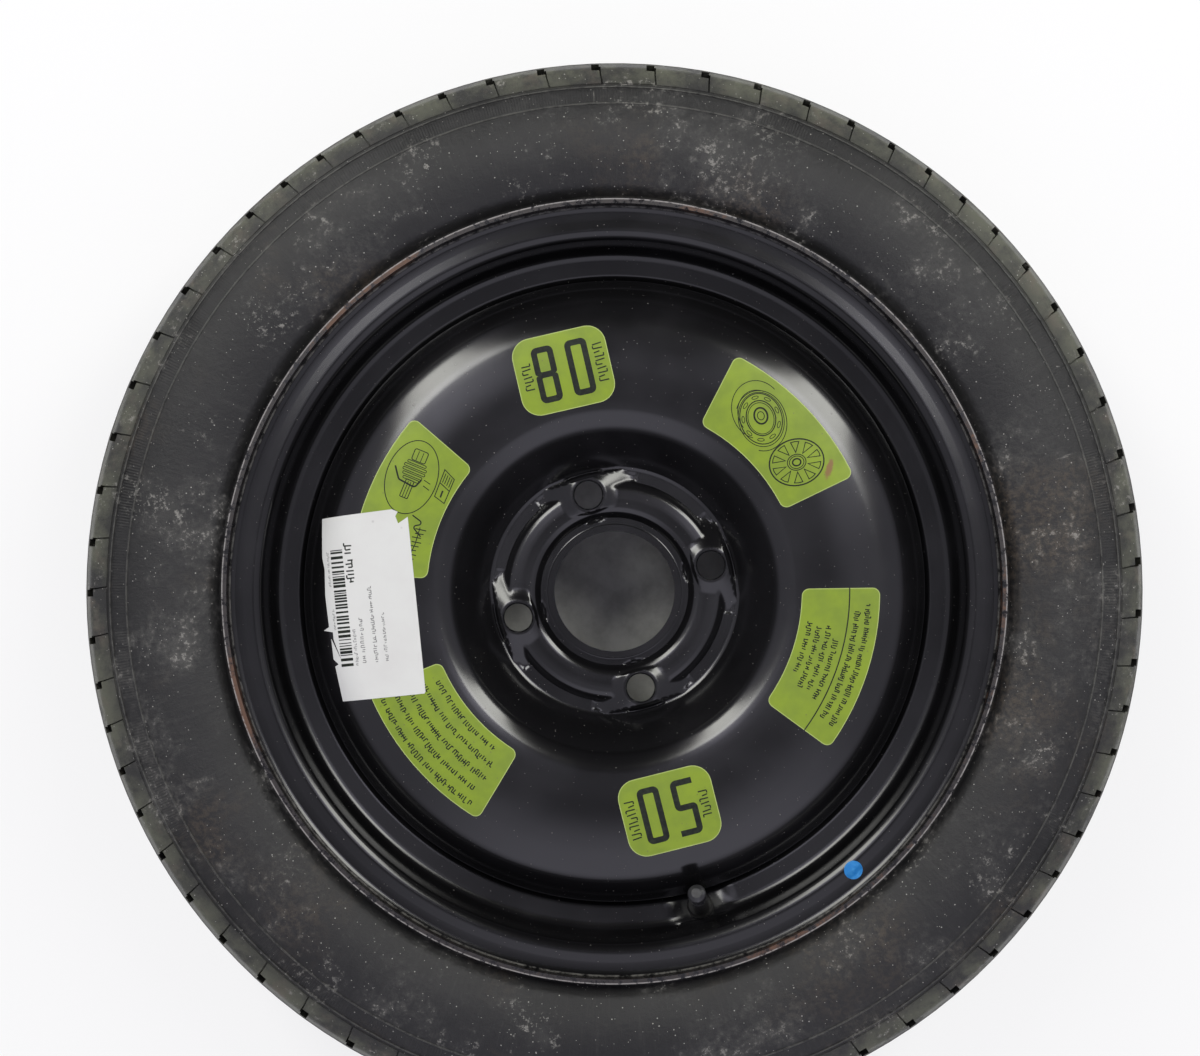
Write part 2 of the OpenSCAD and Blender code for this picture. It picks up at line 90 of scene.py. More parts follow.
def bent_line(corners, arc=9.0, reach=5.0):
    """Points of a line whose corners are rounded to their bends."""
    points = []
    for i, (r, z, bend) in enumerate(corners):
        here = Vector((r, z))
        if i in (0, len(corners) - 1) or bend <= 0:
            points.append(here)
            continue
        before = (here - Vector(corners[i - 1][:2])).normalized()
        after = (Vector(corners[i + 1][:2]) - here).normalized()
        turn = math.copysign(1, before.cross(after))
        half = math.acos(max(-1, min(1, before.dot(after)))) / 2
        start = here - before * bend * math.tan(half)
        hub = start + Vector((-before.y, before.x)) * bend * turn
        steps = max(2, math.ceil(max(2 * math.degrees(half) / arc, 2 * half * bend / reach)))
        for k in range(steps + 1):
            points.append(hub + Matrix.Rotation(2 * half * turn * k / steps, 2) @ (start - hub))
    return points


def flange_corners(z, side):
    return [
        (LIP_R, z + side * LIP_REACH, 0), (LIP_R, z, 5.0), (197.2, z, 6), (193.0, z + side * 0.3, 6),
        (188.8, z + side * 0.3, 3.7), (187.094, z - side * 19.5, 4), (188.294, z - side * 24.1, 3),
    ]


rim_line = flange_corners(FLANGE_Z, 1)
rim_line += [(185.0, -1.6, 8), (170.2, -2.7, 3), (170.2, -38.1, 8)]
rim_line += flange_corners(2 * RIM_MIDDLE - FLANGE_Z, -1)[::-1]


def only(obj):
    bpy.ops.object.select_all(action="DESELECT")
    obj.select_set(True)
    bpy.context.view_layer.objects.active = obj


def outline_mesh(name, points, closed=True):
    """A section of the wheel, standing in the plane through its axis; points are (radius, height)."""
    mesh = bpy.data.meshes.new(name)
    count = len(points)
    edges = [(i, (i + 1) % count) for i in range(count if closed else count - 1)]
    mesh.from_pydata([(p[0] * MM, 0, p[1] * MM) for p in points], edges, [])
    obj = bpy.data.objects.new(name, mesh)
    bpy.context.scene.collection.objects.link(obj)
    return obj


def spin_round(obj, steps):
    """Spins the section in obj about the wheel's axis and closes it."""
    spun = obj.modifiers.new("spun", "SCREW")
    spun.angle = math.tau
    spun.steps = steps
    spun.render_steps = steps
    spun.use_merge_vertices = True
    spun.merge_threshold = 1e-6
    only(obj)
    bpy.ops.object.modifier_apply(modifier=spun.name)
    bpy.ops.object.mode_set(mode="EDIT")
    bpy.ops.mesh.select_all(action="SELECT")
    bpy.ops.mesh.remove_doubles(threshold=1e-6)
    bpy.ops.mesh.normals_make_consistent(inside=False)
    bpy.ops.object.mode_set(mode="OBJECT")


def soften(obj, angle=30.0):
    only(obj)
    bpy.ops.object.shade_smooth_by_angle(angle=math.radians(angle))


def bore_out(obj, cutter):
    """Cuts the shape of cutter out of obj and removes the cutter."""
    cut = obj.modifiers.new("cut", "BOOLEAN")
    cut.operation = "DIFFERENCE"
    cut.solver = "EXACT"
    cut.object = cutter
    only(obj)
    bpy.ops.object.modifier_apply(modifier=cut.name)
    bpy.data.objects.remove(cutter)


def node(tree, kind, inputs=None, **settings):
    made = tree.nodes.new(kind)
    for name, value in settings.items():
        setattr(made, name, value)
    for name, value in (inputs or {}).items():
        if isinstance(value, bpy.types.NodeSocket):
            tree.links.new(value, made.inputs[name])
        else:
            made.inputs[name].default_value = value
    return made


def calc(tree, operation, *values):
    return node(tree, "ShaderNodeMath", dict(enumerate(values)), operation=operation).outputs[0]


def rise(tree, value, low, high, to_low=0.0, to_high=1.0):
    """Smooth step of value from low to high."""
    inputs = {"Value": value, "From Min": low, "From Max": high, "To Min": to_low, "To Max": to_high}
    return node(tree, "ShaderNodeMapRange", inputs, interpolation_type="SMOOTHSTEP").outputs[0]


def tint(tree, amount, under, over):
    """Colour over laid on colour under by amount."""
    mix = node(tree, "ShaderNodeMix", {0: amount}, data_type="RGBA")
    for socket, value in ((mix.inputs[6], under), (mix.inputs[7], over)):
        if isinstance(value, bpy.types.NodeSocket):
            tree.links.new(value, socket)
        else:
            socket.default_value = (*value, 1)
    return mix.outputs[2]


def cloud(tree, place, scale, detail=3.0, rough=0.55):
    inputs = {"Vector": place, "Scale": scale, "Detail": detail, "Roughness": rough}
    return node(tree, "ShaderNodeTexNoise", inputs).outputs[0]


def specks(tree, place, scale, size, share):
    """Round specks: cells of 1/scale metres, a share of which holds a speck of size times the cell."""
    cell = node(tree, "ShaderNodeTexVoronoi", {"Vector": place, "Scale": scale})
    dot = rise(tree, cell.outputs["Distance"], size, size * 0.6)
    pick = node(tree, "ShaderNodeSeparateColor", {0: cell.outputs["Color"]})
    return calc(tree, "MULTIPLY", dot, calc(tree, "GREATER_THAN", pick.outputs[0], 1 - share))


def wheel_places(tree):
    """Object place, radius from the axis, angle about it in turns, and height."""
    place = node(tree, "ShaderNodeTexCoord").outputs["Object"]
    axes = node(tree, "ShaderNodeSeparateXYZ", {0: place})
    x, y, z = axes.outputs
    squares = calc(tree, "ADD", calc(tree, "MULTIPLY", x, x), calc(tree, "MULTIPLY", y, y))
    turn = calc(tree, "DIVIDE", calc(tree, "ARCTAN2", y, x), 2 * math.pi)
    return place, calc(tree, "SQRT", squares), turn, z


def new_finish(name):
    made = bpy.data.materials.new(name)
    made.use_nodes = True
    return made, made.node_tree, made.node_tree.nodes["Principled BSDF"]


def put(tree, shader, **sockets):
    """Links or sets the shader's sockets; an underscore in a name stands for a space."""
    for name, value in sockets.items():
        socket = shader.inputs[name.replace("_", " ")]
        if isinstance(value, bpy.types.NodeSocket):
            tree.links.new(value, socket)
        else:
            socket.default_value = (*value, 1) if isinstance(value, tuple) else value


def relief(tree, shader, height, depth):
    bump = node(tree, "ShaderNodeBump", {"Height": height, "Distance": depth, "Strength": 1.0})
    tree.links.new(bump.outputs[0], shader.inputs["Normal"])


def black_paint(name, lip_wear_and_highlights, shine):
    """Satin-gloss black paint with dust, fine scuffs and, on the rim, stains and rust along its lip, with two
    painted highlight lines there: one at the lip's inner bend, and one at its edge that is partly bare metal.
    """
    made, tree, shader = new_finish(name)
    place, radius, turn, height = wheel_places(tree)
    patch = cloud(tree, place, 18, 4)
    dust = specks(tree, place, 260, 0.085, 0.10)
    fine_dust = specks(tree, place, 800, 0.17, 0.05)
    grit = calc(tree, "MAXIMUM", dust, fine_dust)
    haze = rise(tree, patch, 0.45, 0.75, 0, 0.10)
    colour = tint(tree, haze, (0.0046, 0.0045, 0.0049), (0.036, 0.035, 0.040))
    colour = tint(tree, calc(tree, "MULTIPLY", grit, 0.5), colour, (0.36, 0.34, 0.31))
    gloss = rise(tree, patch, 0.3, 0.8, 0.15, 0.21)
    gloss = calc(tree, "ADD", gloss, calc(tree, "MULTIPLY", grit, 0.4))
    if lip_wear_and_highlights:
        scratch = cloud(tree, place, 260, 5, 0.7)
        broad = cloud(tree, place, 13, 4, 0.65)
        band = rise(tree, radius, 0.2044, 0.2051)
        stained = calc(tree, "MULTIPLY", band, rise(tree, scratch, 0.38, 0.56))
        rust = calc(tree, "MULTIPLY", band, rise(tree, calc(tree, "ADD", broad, calc(
            tree, "MULTIPLY", scratch, 0.45)), 0.79, 0.92))
        # A light line at the lip's very edge: partly bare worn metal, partly a painted highlight.
        edge = calc(tree, "MULTIPLY", rise(tree, radius, 0.2066, 0.2069), rise(tree, scratch, 0.38, 0.52))
        # A light line at the lip's inner bend: a painted highlight, broken up by the scratch noise.
        lip_highlight_line = calc(tree, "MULTIPLY", rise(tree, radius, 0.2035, 0.2039),
                          rise(tree, radius, 0.2047, 0.2043))
        lip_highlight_line = calc(tree, "MULTIPLY", lip_highlight_line, rise(tree, scratch, 0.36, 0.60))
        colour = tint(tree, calc(tree, "MULTIPLY", stained, 0.75), colour, (0.026, 0.020, 0.019))
        colour = tint(tree, calc(tree, "MULTIPLY", rust, 0.7), colour, (0.125, 0.056, 0.026))
        # The two light lines along the lip are painted highlights, the outer one partly bare metal.
        colour = tint(tree, calc(tree, "MULTIPLY", lip_highlight_line, 0.55), colour, (0.19, 0.185, 0.17))
        colour = tint(tree, calc(tree, "MULTIPLY", edge, 0.80), colour, (0.27, 0.255, 0.245))
        wear_and_highlight_mask = calc(tree, "MAXIMUM", calc(tree, "MAXIMUM", rust, edge), stained)
        gloss = calc(tree, "ADD", gloss, calc(tree, "MULTIPLY", wear_and_highlight_mask, 0.35))
    peel = cloud(tree, place, 900, 2)
    lumps = calc(tree, "ADD", calc(tree, "MULTIPLY", peel, 0.02), calc(tree, "MULTIPLY", grit, 0.6))
    put(tree, shader, Base_Color=colour, Roughness=gloss, Specular_IOR_Level=shine)
    relief(tree, shader, lumps, 0.00012)
    return made


rim_paint = black_paint("rim_paint", True, 0.52)
rim_outer = bent_line(part_points(rim_line, RIM_THICK / 2))
rim_inner = bent_line(part_points(rim_line, -RIM_THICK / 2))
rim_shell = outline_mesh("rim_shell", rim_outer + rim_inner[::-1])
spin_round(rim_shell, 360)


def smooth_step(value, low, high):
    t = min(1, max(0, (value - low) / (high - low)))
    return t * t * (3 - 2 * t)


# The well's outer wall is tilted into a pad where the valve sits
VALVE_R = 177.8
VALVE_Z = -0.995
VALVE_TILT = 18.0
for vertex in rim_shell.data.vertices:
    x, r, z = vertex.co.x / MM, vertex.co.xy.length / MM, vertex.co.z / MM
    if vertex.co.y < 0 and abs(x) < 17 and 168 < r < 184.5 and -8 < z < 3:
        tilt = (min(r, 183.0) - 178.8) * 0.25
        vertex.co.z += tilt * smooth_step(17 - abs(x), 0, 5) * MM
at_valve = Matrix.Translation((0, -VALVE_R * MM, VALVE_Z * MM)) @ Matrix.Rotation(
    math.radians(-VALVE_TILT), 4, "X")
bpy.ops.object.select_all(action="DESELECT")
bpy.ops.mesh.primitive_cylinder_add(vertices=64, radius=5.75 * MM, depth=12 * MM)
valve_drill = bpy.context.active_object
valve_drill.matrix_world = at_valve
bore_out(rim_shell, valve_drill)
soften(rim_shell)
rim_shell.data.materials.append(rim_paint)
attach(rim_shell, "wheel")
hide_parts("rim")

# Disc: pressed from 3.5 mm sheet. The bore's lip is turned up, a raised ring carries four bolt seats,
# pockets and pads are coined round them, and the dome's flange is pushed into the well.
# The section is spun, and the seats are then pressed into the spun sheet.
DISC_THICK = 3.5
LAND_Z = DISC_THICK / 2
BORE_R = 32.55
PCD_R = 54.0
HOLE_R = 7.5
SEAT_TOP = 9.5
RIDGE_IN = 40.8
RIDGE_OUT = 59.6
FLANK_R = 68.2
disc_line = [
    (BORE_R + LAND_Z, 9, 0), (BORE_R + LAND_Z, LAND_Z, 2.6), (RIDGE_IN, LAND_Z, 1.2), (44.6, 5.85, 3),
    (50.2, 6.1, 40), (55.8, 5.85, 3), (RIDGE_OUT, LAND_Z, 1.2), (FLANK_R, LAND_Z, 5), (90.4, 29.1, 16),
    (121.6, 31.36, 200),
    (155.3, 29.0, 27), (167.1, 4.22, 10), (167.1, -28, 0),
]


def spaced(points, gap):
    """The same line with more points, none further apart than gap."""
    line = [points[0]]
    for a, b in zip(points, points[1:]):
        parts = max(1, math.ceil((b - a).length / gap))
        line += [a.lerp(b, k / parts) for k in range(1, parts + 1)]
    return line


disc_top = bent_line(part_points(disc_line, LAND_Z), arc=6, reach=5)
disc_under = bent_line(part_points(disc_line, -LAND_Z), arc=15, reach=12)
nave_top = [p for p in disc_top if p.x < FLANK_R + 1.5]
dome_top = disc_top[len(nave_top):]
nave_under = [p for p in disc_under if p.x < FLANK_R + 1.5]
dome_under = disc_under[len(nave_under):]
disc_shell = outline_mesh(
    "disc_shell",
    spaced(nave_top, 0.8) + spaced(dome_top, 6) + (spaced(nave_under, 3) + spaced(dome_under, 12))[::-1],
)
spin_round(disc_shell, 480)


def height_on(line, r):
    """Height of a line of points at radius r."""
    for a, b in zip(line, line[1:]):
        if a.x <= r <= b.x and b.x > a.x:
            return a.y + (b.y - a.y) * (r - a.x) / (b.x - a.x)
    return line[-1].y


def join_high(a, b, blend):
    """The higher of two heights, with a fillet where they meet."""
    h = max(blend - abs(a - b), 0) / blend
    return max(a, b) + h * h * blend / 4


def press_depth(r, turn):
    """How far the seat tools push the sheet up or down at a place, in mm."""
    base = height_on(nave_top, min(r, FLANK_R + 1))
    quarter = (turn + 45) % 90 - 45
    side = abs(quarter)
    x = r * math.cos(math.radians(quarter)) - PCD_R
    y = r * math.sin(math.radians(quarter))
    away = math.hypot(x, y)
    edge = 14.3 - max(0, r - 61.0) * 1.05
    pocket = smooth_step(edge - side, -0.35, 0.35) * smooth_step(66.3 - r, -0.4, 0.4)
    pocket *= 1 - smooth_step(RIDGE_OUT - 0.4 - r, -0.5, 0.5)
    inner = smooth_step(15.0 - away, -0.5, 0.5) * smooth_step(RIDGE_IN - r, -0.6, 0.6)
    pad = smooth_step(26 - side, -0.3, 0.3) * smooth_step(side - 15, -0.3, 0.3)
    pad *= smooth_step(r - RIDGE_OUT - 1.0, -0.25, 0.25) * smooth_step(64.9 - r, -0.25, 0.25)
    floor = base - 0.9 * max(pocket, inner) - 0.45 * pad
    seat = SEAT_TOP - max(0, away - 9.8) * 0.45 - max(0, abs(x) - 9.0) * 2.2
    return join_high(floor, seat, 1.2) - base


for vertex in disc_shell.data.vertices:
    r = math.hypot(vertex.co.x, vertex.co.y) / MM
    if 38 < r < 68.5:
        vertex.co.z += press_depth(r, math.degrees(math.atan2(vertex.co.y, vertex.co.x))) * MM

SINK_Z = SEAT_TOP - 0.7
drill_line = [(0, -20), (HOLE_R, -20), (HOLE_R, SINK_Z), (HOLE_R + 3, SINK_Z + 3), (HOLE_R + 3, 20), (0, 20)]
drills = outline_mesh("drills", drill_line, closed=False)
spin_round(drills, 96)
drills.data.transform(Matrix.Translation((PCD_R * MM, 0, 0)))
only(drills)
bpy.ops.object.mode_set(mode="EDIT")
bpy.ops.mesh.select_all(action="SELECT")
bpy.ops.mesh.spin(steps=3, dupli=True, angle=math.radians(270), center=(0, 0, 0), axis=(0, 0, 1))
bpy.ops.object.mode_set(mode="OBJECT")
bore_out(disc_shell, drills)
soften(disc_shell, 40)
disc_shell.data.materials.append(black_paint("disc_paint", False, 0.66))
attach(disc_shell, "wheel")
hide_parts("wheel_disc")

# Welds: four fillets of weld metal between the disc's flange and the well, painted with the wheel.
weld_paint, tree, shader = new_finish("weld_paint")
place = wheel_places(tree)[0]
ripple = cloud(tree, place, 420, 3)
put(tree, shader, Base_Color=tint(tree, ripple, (0.010, 0.010, 0.011), (0.030, 0.028, 0.027)),
    Roughness=rise(tree, ripple, 0.2, 0.8, 0.3, 0.5))
relief(tree, shader, ripple, 0.0006)


def dress(name, material):
    """Gives a node of the frame its finish."""
    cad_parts[name].data.materials.clear()
    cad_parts[name].data.materials.append(material)


dress("disc_welds", weld_paint)

# Tyre: moulded rubber on the rim's two seats, a narrow section with four plain grooves.
# One pitch of the carcass is spun with its two shoulder slots, copied round, and the pitches are
# then stretched and squeezed in turn as the mould does.
TREAD_R = 285.0
HALF_W = 50.8
SLOTS = 66
NOTCH_TURN = 0.76
CUT_TURN = 0.17
CUT_CURVE = 0.30
tyre_outside = [
    (204.1, 52.8, 0), (209.6, 55.4, 2), (214.1, 61.5, 7), (237.55, 70.7, 50), (264, 60.5, 14),
    (278.5, 53, 5), (282.8, 42, 20), (285, 0, 100),
]
tyre_inside = [(191.3, 38.2, 0), (196.1, 38.8, 6), (214.1, 52, 12), (237.55, 62.4, 40), (262, 53, 14),
               (273, 36, 18), (274, 0, 100)]


def mirrored(corners):
    return corners + [(r, -z, bend) for r, z, bend in corners[-2::-1]]


def with_rib(line, radius, height, width):
    """Adds a thin raised line to both sidewalls at a radius."""
    out = []
    for a, b in zip(line, line[1:]):
        out.append(a)
        if abs(a.y) > 40 and (a.x - radius) * (b.x - radius) < 0:
            side = math.copysign(1, a.y)
            z = a.y + (b.y - a.y) * (radius - a.x) / (b.x - a.x)
            slope = (b.y - a.y) / (b.x - a.x)
            order = (-1, -0.6, 0.6, 1) if b.x > a.x else (1, 0.6, -0.6, -1)
            for k in order:
                up = height if abs(k) < 1 else 0
                out.append(Vector((radius + k * width, z + k * width * slope + side * up)))
    return out + [line[-1]]


def with_grooves(line, rows, width, depth):
    """Cuts grooves round the tread into its line."""
    out = []
    cuts = sorted(rows, reverse=True)
    for p in line:
        if p.x > 275 and any(abs(p.y - row) < width / 2 + 0.6 for row in cuts):
            continue
        out.append(p)
    walls = []
    for row in cuts:
        top = TREAD_R - (row / HALF_W) ** 2 * 1.35
        walls.append([Vector((top, row + width / 2)), Vector((top - depth, row + width / 2 - 0.4)),
                      Vector((top - depth, row - width / 2 + 0.4)), Vector((top, row - width / 2))])
    for wall in walls:
        at = next(i for i, p in enumerate(out) if p.x > 275 and p.y < wall[0].y)
        out[at:at] = wall
    return out


rim_side = [
    Vector((p.x, p.y - RIM_MIDDLE)) for p in bent_line(part_points(rim_line, RIM_THICK / 2 + 0.05))
]
seat_side = [p for p in rim_side[:len(rim_side) // 2] if 38.6 <= p.y <= 54.3][::-1]
skin = spaced([p for p in bent_line(mirrored(tyre_outside)) if p.x > 207.5], 3.0)
for rib_r, rib_h in ((257.3, 0.45), (266.8, 0.6), (268.3, -0.4)):
    skin = with_rib(skin, rib_r, rib_h, 0.55)
skin = with_grooves(skin, (-33.9, -11.3, 11.3, 33.9), 5.0, 4.5)
lining = bent_line(mirrored(tyre_inside), arc=18, reach=12)
section = seat_side + skin + [Vector((p.x, -p.y)) for p in seat_side[::-1]] + lining[::-1]
tyre_carcass = outline_mesh("tyre_carcass", [Vector((p.x, p.y + RIM_MIDDLE)) for p in section])
pitch_turn = 360 / SLOTS
plain_turn = (pitch_turn - NOTCH_TURN - CUT_TURN) / 2
tyre_carcass.data.transform(Matrix.Rotation(math.radians(pitch_turn / 2), 4, "Z"))
only(tyre_carcass)
bpy.ops.object.mode_set(mode="EDIT")
bpy.ops.mesh.select_all(action="SELECT")
for angle in (plain_turn, NOTCH_TURN, CUT_TURN, plain_turn):
    bpy.ops.mesh.spin(steps=1, angle=math.radians(angle), center=(0, 0, 0), axis=(0, 0, 1))
bpy.ops.mesh.select_all(action="SELECT")
bpy.ops.mesh.normals_make_consistent(inside=False)


def pick_faces(obj, wanted):
    """Selects only the faces of obj whose middle passes wanted(radius, turn in degrees, height)."""
    bpy.ops.mesh.select_mode(type="FACE")
    bpy.ops.mesh.select_all(action="DESELECT")
    work = bmesh.from_edit_mesh(obj.data)
    for face in work.faces:
        c = face.calc_center_median()
        if wanted(math.hypot(c.x, c.y) / MM, math.degrees(math.atan2(c.y, c.x)), c.z / MM):
            face.select_set(True)
    bmesh.update_edit_mesh(obj.data)


def at_shoulder(r, turn, z, low, high, middle, half):
    return low < r < high and abs(z - RIM_MIDDLE) > 40.5 and abs(turn - middle) < half


# A wide notch at each edge of the tread, and a thin cut beside it that runs into the shoulder
for side in (1, -1):
    pick_faces(tyre_carcass, lambda r, turn, z: (z - RIM_MIDDLE) * side > 0 and at_shoulder(
        r, turn, z, 276.8, 286, CUT_TURN / 2, NOTCH_TURN / 2))
    bpy.ops.mesh.extrude_region_move(TRANSFORM_OT_translate={"value": (-4.4 * MM, 0, -side * 6.0 * MM)})
pick_faces(tyre_carcass, lambda r, turn, z: at_shoulder(
    r, turn, z, 268.9, 279.5, -NOTCH_TURN / 2, CUT_TURN / 2))
bpy.ops.mesh.extrude_region_shrink_fatten(
    MESH_OT_extrude_region={}, TRANSFORM_OT_shrink_fatten={"value": -1.5 * MM})
bpy.ops.mesh.select_all(action="SELECT")
bpy.ops.mesh.spin(steps=SLOTS - 1, dupli=True, angle=math.radians(360 - pitch_turn), center=(0, 0, 0),
                  axis=(0, 0, 1))
bpy.ops.mesh.select_all(action="SELECT")
bpy.ops.mesh.remove_doubles(threshold=2e-6)
bpy.ops.mesh.normals_make_consistent(inside=False)
bpy.ops.object.mode_set(mode="OBJECT")
for vertex in tyre_carcass.data.vertices:
    turn = math.atan2(vertex.co.y, vertex.co.x)
    inwards = smooth_step(279 - vertex.co.xy.length / MM, 0, 14)
    swing = math.radians(1.3 * math.sin(5 * turn) - CUT_CURVE * inwards)
    vertex.co.xy = Matrix.Rotation(swing, 2) @ vertex.co.xy
soften(tyre_carcass, 35)

tyre_rubber, tree, shader = new_finish("tyre_rubber")
place, radius, turn, height = wheel_places(tree)
around = node(tree, "ShaderNodeCombineXYZ", {
    0: calc(tree, "MULTIPLY", calc(tree, "SINE", calc(tree, "MULTIPLY", turn, 2 * math.pi)), 0.29),
    1: calc(tree, "MULTIPLY", calc(tree, "COSINE", calc(tree, "MULTIPLY", turn, 2 * math.pi)), 0.29),
    2: calc(tree, "MULTIPLY", radius, 0.10)}).outputs[0]


def elsewhere(tree, place, shift):
    return node(tree, "ShaderNodeVectorMath", {0: place, 1: shift}, operation="ADD").outputs[0]


streak = cloud(tree, around, 420, 5, 0.7)
patch = cloud(tree, place, 10, 6, 0.62)
blotch = cloud(tree, elsewhere(tree, place, (3.1, 0.4, 0.7)), 30, 7, 0.70)
fine = cloud(tree, place, 300, 6, 0.72)
scuff_lines = cloud(tree, elsewhere(tree, around, (0.2, 0.1, 0.6)), 75, 7, 0.78)
crumbs = calc(tree, "MAXIMUM", specks(tree, place, 300, 0.13, 0.20), specks(tree, place, 800, 0.22, 0.07))
shoulder = rise(tree, radius, 0.2672, 0.2700)
far_patch = cloud(tree, elsewhere(tree, place, (1.3, 2.1, 0.3)), 32, 7, 0.72)
dusty = calc(tree, "MULTIPLY", rise(tree, patch, 0.42, 0.62), rise(tree, calc(tree, "ADD", blotch, calc(
    tree, "MULTIPLY", fine, 0.5)), 0.70, 0.92))
pale = calc(tree, "MULTIPLY", rise(tree, blotch, 0.52, 0.64), rise(tree, fine, 0.53, 0.62))
dirt = calc(tree, "MULTIPLY", rise(tree, cloud(tree, elsewhere(tree, place, (0.31, 0.07, 0.2)), 9, 4, 0.6),
                                   0.52, 0.70), rise(tree, fine, 0.40, 0.62))
rubber = tint(tree, rise(tree, patch, 0.25, 0.75), (0.0090, 0.0089, 0.0092), (0.0205, 0.0203, 0.0202))
rubber = tint(tree, rise(tree, streak, 0.50, 0.8, 0, 0.30), rubber, (0.050, 0.048, 0.045))
rubber = tint(tree, calc(tree, "MULTIPLY", dusty, 0.60), rubber, (0.104, 0.102, 0.096))
rubber = tint(tree, calc(tree, "MULTIPLY", dirt, 0.50), rubber, (0.085, 0.064, 0.044))
worn_edge = tint(tree, rise(tree, far_patch, 0.38, 0.62), (0.034, 0.034, 0.032), (0.112, 0.116, 0.084))
worn_edge = tint(tree, rise(tree, cloud(tree, place, 55, 4, 0.7), 0.52, 0.70, 0, 0.5), worn_edge,
                 (0.150, 0.125, 0.098))
edge_amount = rise(tree, radius, 0.2685, 0.2800, 0.45, 0.90)
off_middle = calc(tree, "ABSOLUTE", calc(tree, "SUBTRACT", height, RIM_MIDDLE * MM))
edge_amount = calc(tree, "MULTIPLY", edge_amount, rise(tree, off_middle, 0.036, 0.046, 0.30, 1.0))
rubber = tint(tree, calc(tree, "MULTIPLY", shoulder, edge_amount), rubber, worn_edge)
rubber = tint(tree, calc(tree, "MULTIPLY", pale, 0.55), rubber, (0.34, 0.33, 0.30))
rubber = tint(tree, calc(tree, "MULTIPLY", rise(tree, scuff_lines, 0.67, 0.73), 0.50), rubber,
              (0.30, 0.29, 0.26))
rubber = tint(tree, calc(tree, "MULTIPLY", crumbs, 0.60), rubber, (0.50, 0.49, 0.45))
teeth = calc(tree, "SINE", calc(tree, "MULTIPLY", turn, 2 * math.pi * 1100))
band = calc(tree, "MULTIPLY", rise(tree, radius, 0.2581, 0.2585), rise(tree, radius, 0.2658, 0.2654))
band = calc(tree, "MULTIPLY", band, rise(tree, blotch, 0.44, 0.60, 0.15, 1.0))
low_rib = calc(tree, "MULTIPLY", rise(tree, radius, 0.2565, 0.2570), rise(tree, radius, 0.2580, 0.2575))
high_rib = calc(tree, "MULTIPLY", rise(tree, radius, 0.2660, 0.2665), rise(tree, radius, 0.2675, 0.2670))
rib = calc(tree, "MULTIPLY", calc(tree, "MAXIMUM", low_rib, high_rib), rise(tree, fine, 0.30, 0.60))
rubber = tint(tree, calc(tree, "MULTIPLY", band, 0.30), rubber, (0.014, 0.014, 0.013))
rubber = tint(tree, calc(tree, "MULTIPLY", rib, 0.45), rubber, (0.130, 0.130, 0.115))
lumps = calc(tree, "ADD", calc(tree, "MULTIPLY", calc(tree, "MULTIPLY", teeth, band), 0.25),
             calc(tree, "MULTIPLY", calc(tree, "ADD", fine, calc(tree, "MULTIPLY", streak, 0.3)), 1.0))
put(tree, shader, Base_Color=rubber, Roughness=rise(tree, calc(tree, "ADD", dusty, calc(
    tree, "MULTIPLY", fine, 0.8)), 0.3, 1.2, 0.46, 0.80), Specular_IOR_Level=0.38)
relief(tree, shader, lumps, 0.0005)
tyre_carcass.data.materials.append(tyre_rubber)
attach(tyre_carcass, "wheel")
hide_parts("tyre")

# Valve: a moulded rubber body snapped into the rim, with its brass stem, the core and the screwed cap
moulded, tree, shader = new_finish("valve_rubber")
place = wheel_places(tree)[0]
grain = cloud(tree, place, 900, 3)
put(tree, shader, Base_Color=tint(tree, grain, (0.010, 0.010, 0.010), (0.022, 0.021, 0.020)),
    Roughness=rise(tree, grain, 0.3, 0.7, 0.42, 0.58))
relief(tree, shader, grain, 0.0001)
dress("valve_body", moulded)

brass, tree, shader = new_finish("turned_brass")
place, radius, turn, height = wheel_places(tree)
marks = cloud(tree, place, 700, 4)
put(tree, shader, Base_Color=tint(tree, marks, (0.46, 0.33, 0.13), (0.62, 0.48, 0.22)), Metallic=1.0,
    Roughness=rise(tree, marks, 0.3, 0.7, 0.22, 0.38))
relief(tree, shader, marks, 0.00003)
dress("valve_stem", brass)
dress("core_barrel", brass)

plated, tree, shader = new_finish("plated_steel")
marks = cloud(tree, wheel_places(tree)[0], 900, 3)
put(tree, shader, Base_Color=tint(tree, marks, (0.50, 0.50, 0.48), (0.66, 0.66, 0.63)), Metallic=1.0,
    Roughness=rise(tree, marks, 0.3, 0.7, 0.2, 0.35))
dress("core_pin", plated)

# The core's spring: four coils of wire, whose upper end goes down with the pin
SPRING_LOW = 25.45
SPRING_HIGH = 32.85
SPRING_R = 1.08
SPRING_WIRE_R = 0.26
COILS = 4
COIL_STEPS = 24
wire = bpy.data.curves.new("core_coils", "CURVE")
wire.dimensions = "3D"
wire.bevel_depth = SPRING_WIRE_R * MM
wire.bevel_resolution = 2
wire.use_fill_caps = True
line = wire.splines.new("POLY")
line.points.add(COILS * COIL_STEPS)
for k, point in enumerate(line.points):
    swing = math.tau * k / COIL_STEPS
    climb = (SPRING_HIGH - SPRING_LOW - 2 * SPRING_WIRE_R) * k / (COILS * COIL_STEPS)
    up = SPRING_LOW + SPRING_WIRE_R + climb
    place = at_valve @ (Vector((SPRING_R * math.cos(swing), SPRING_R * math.sin(swing), up)) * MM)
    point.co = (*place, 1)
coils = bpy.data.objects.new("core_coils", wire)
bpy.context.scene.collection.objects.link(coils)
only(coils)
bpy.ops.object.convert(target="MESH")
coils = bpy.context.active_object
soften(coils, 60)
coils.data.materials.append(plated)
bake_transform(coils)
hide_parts("core_spring")

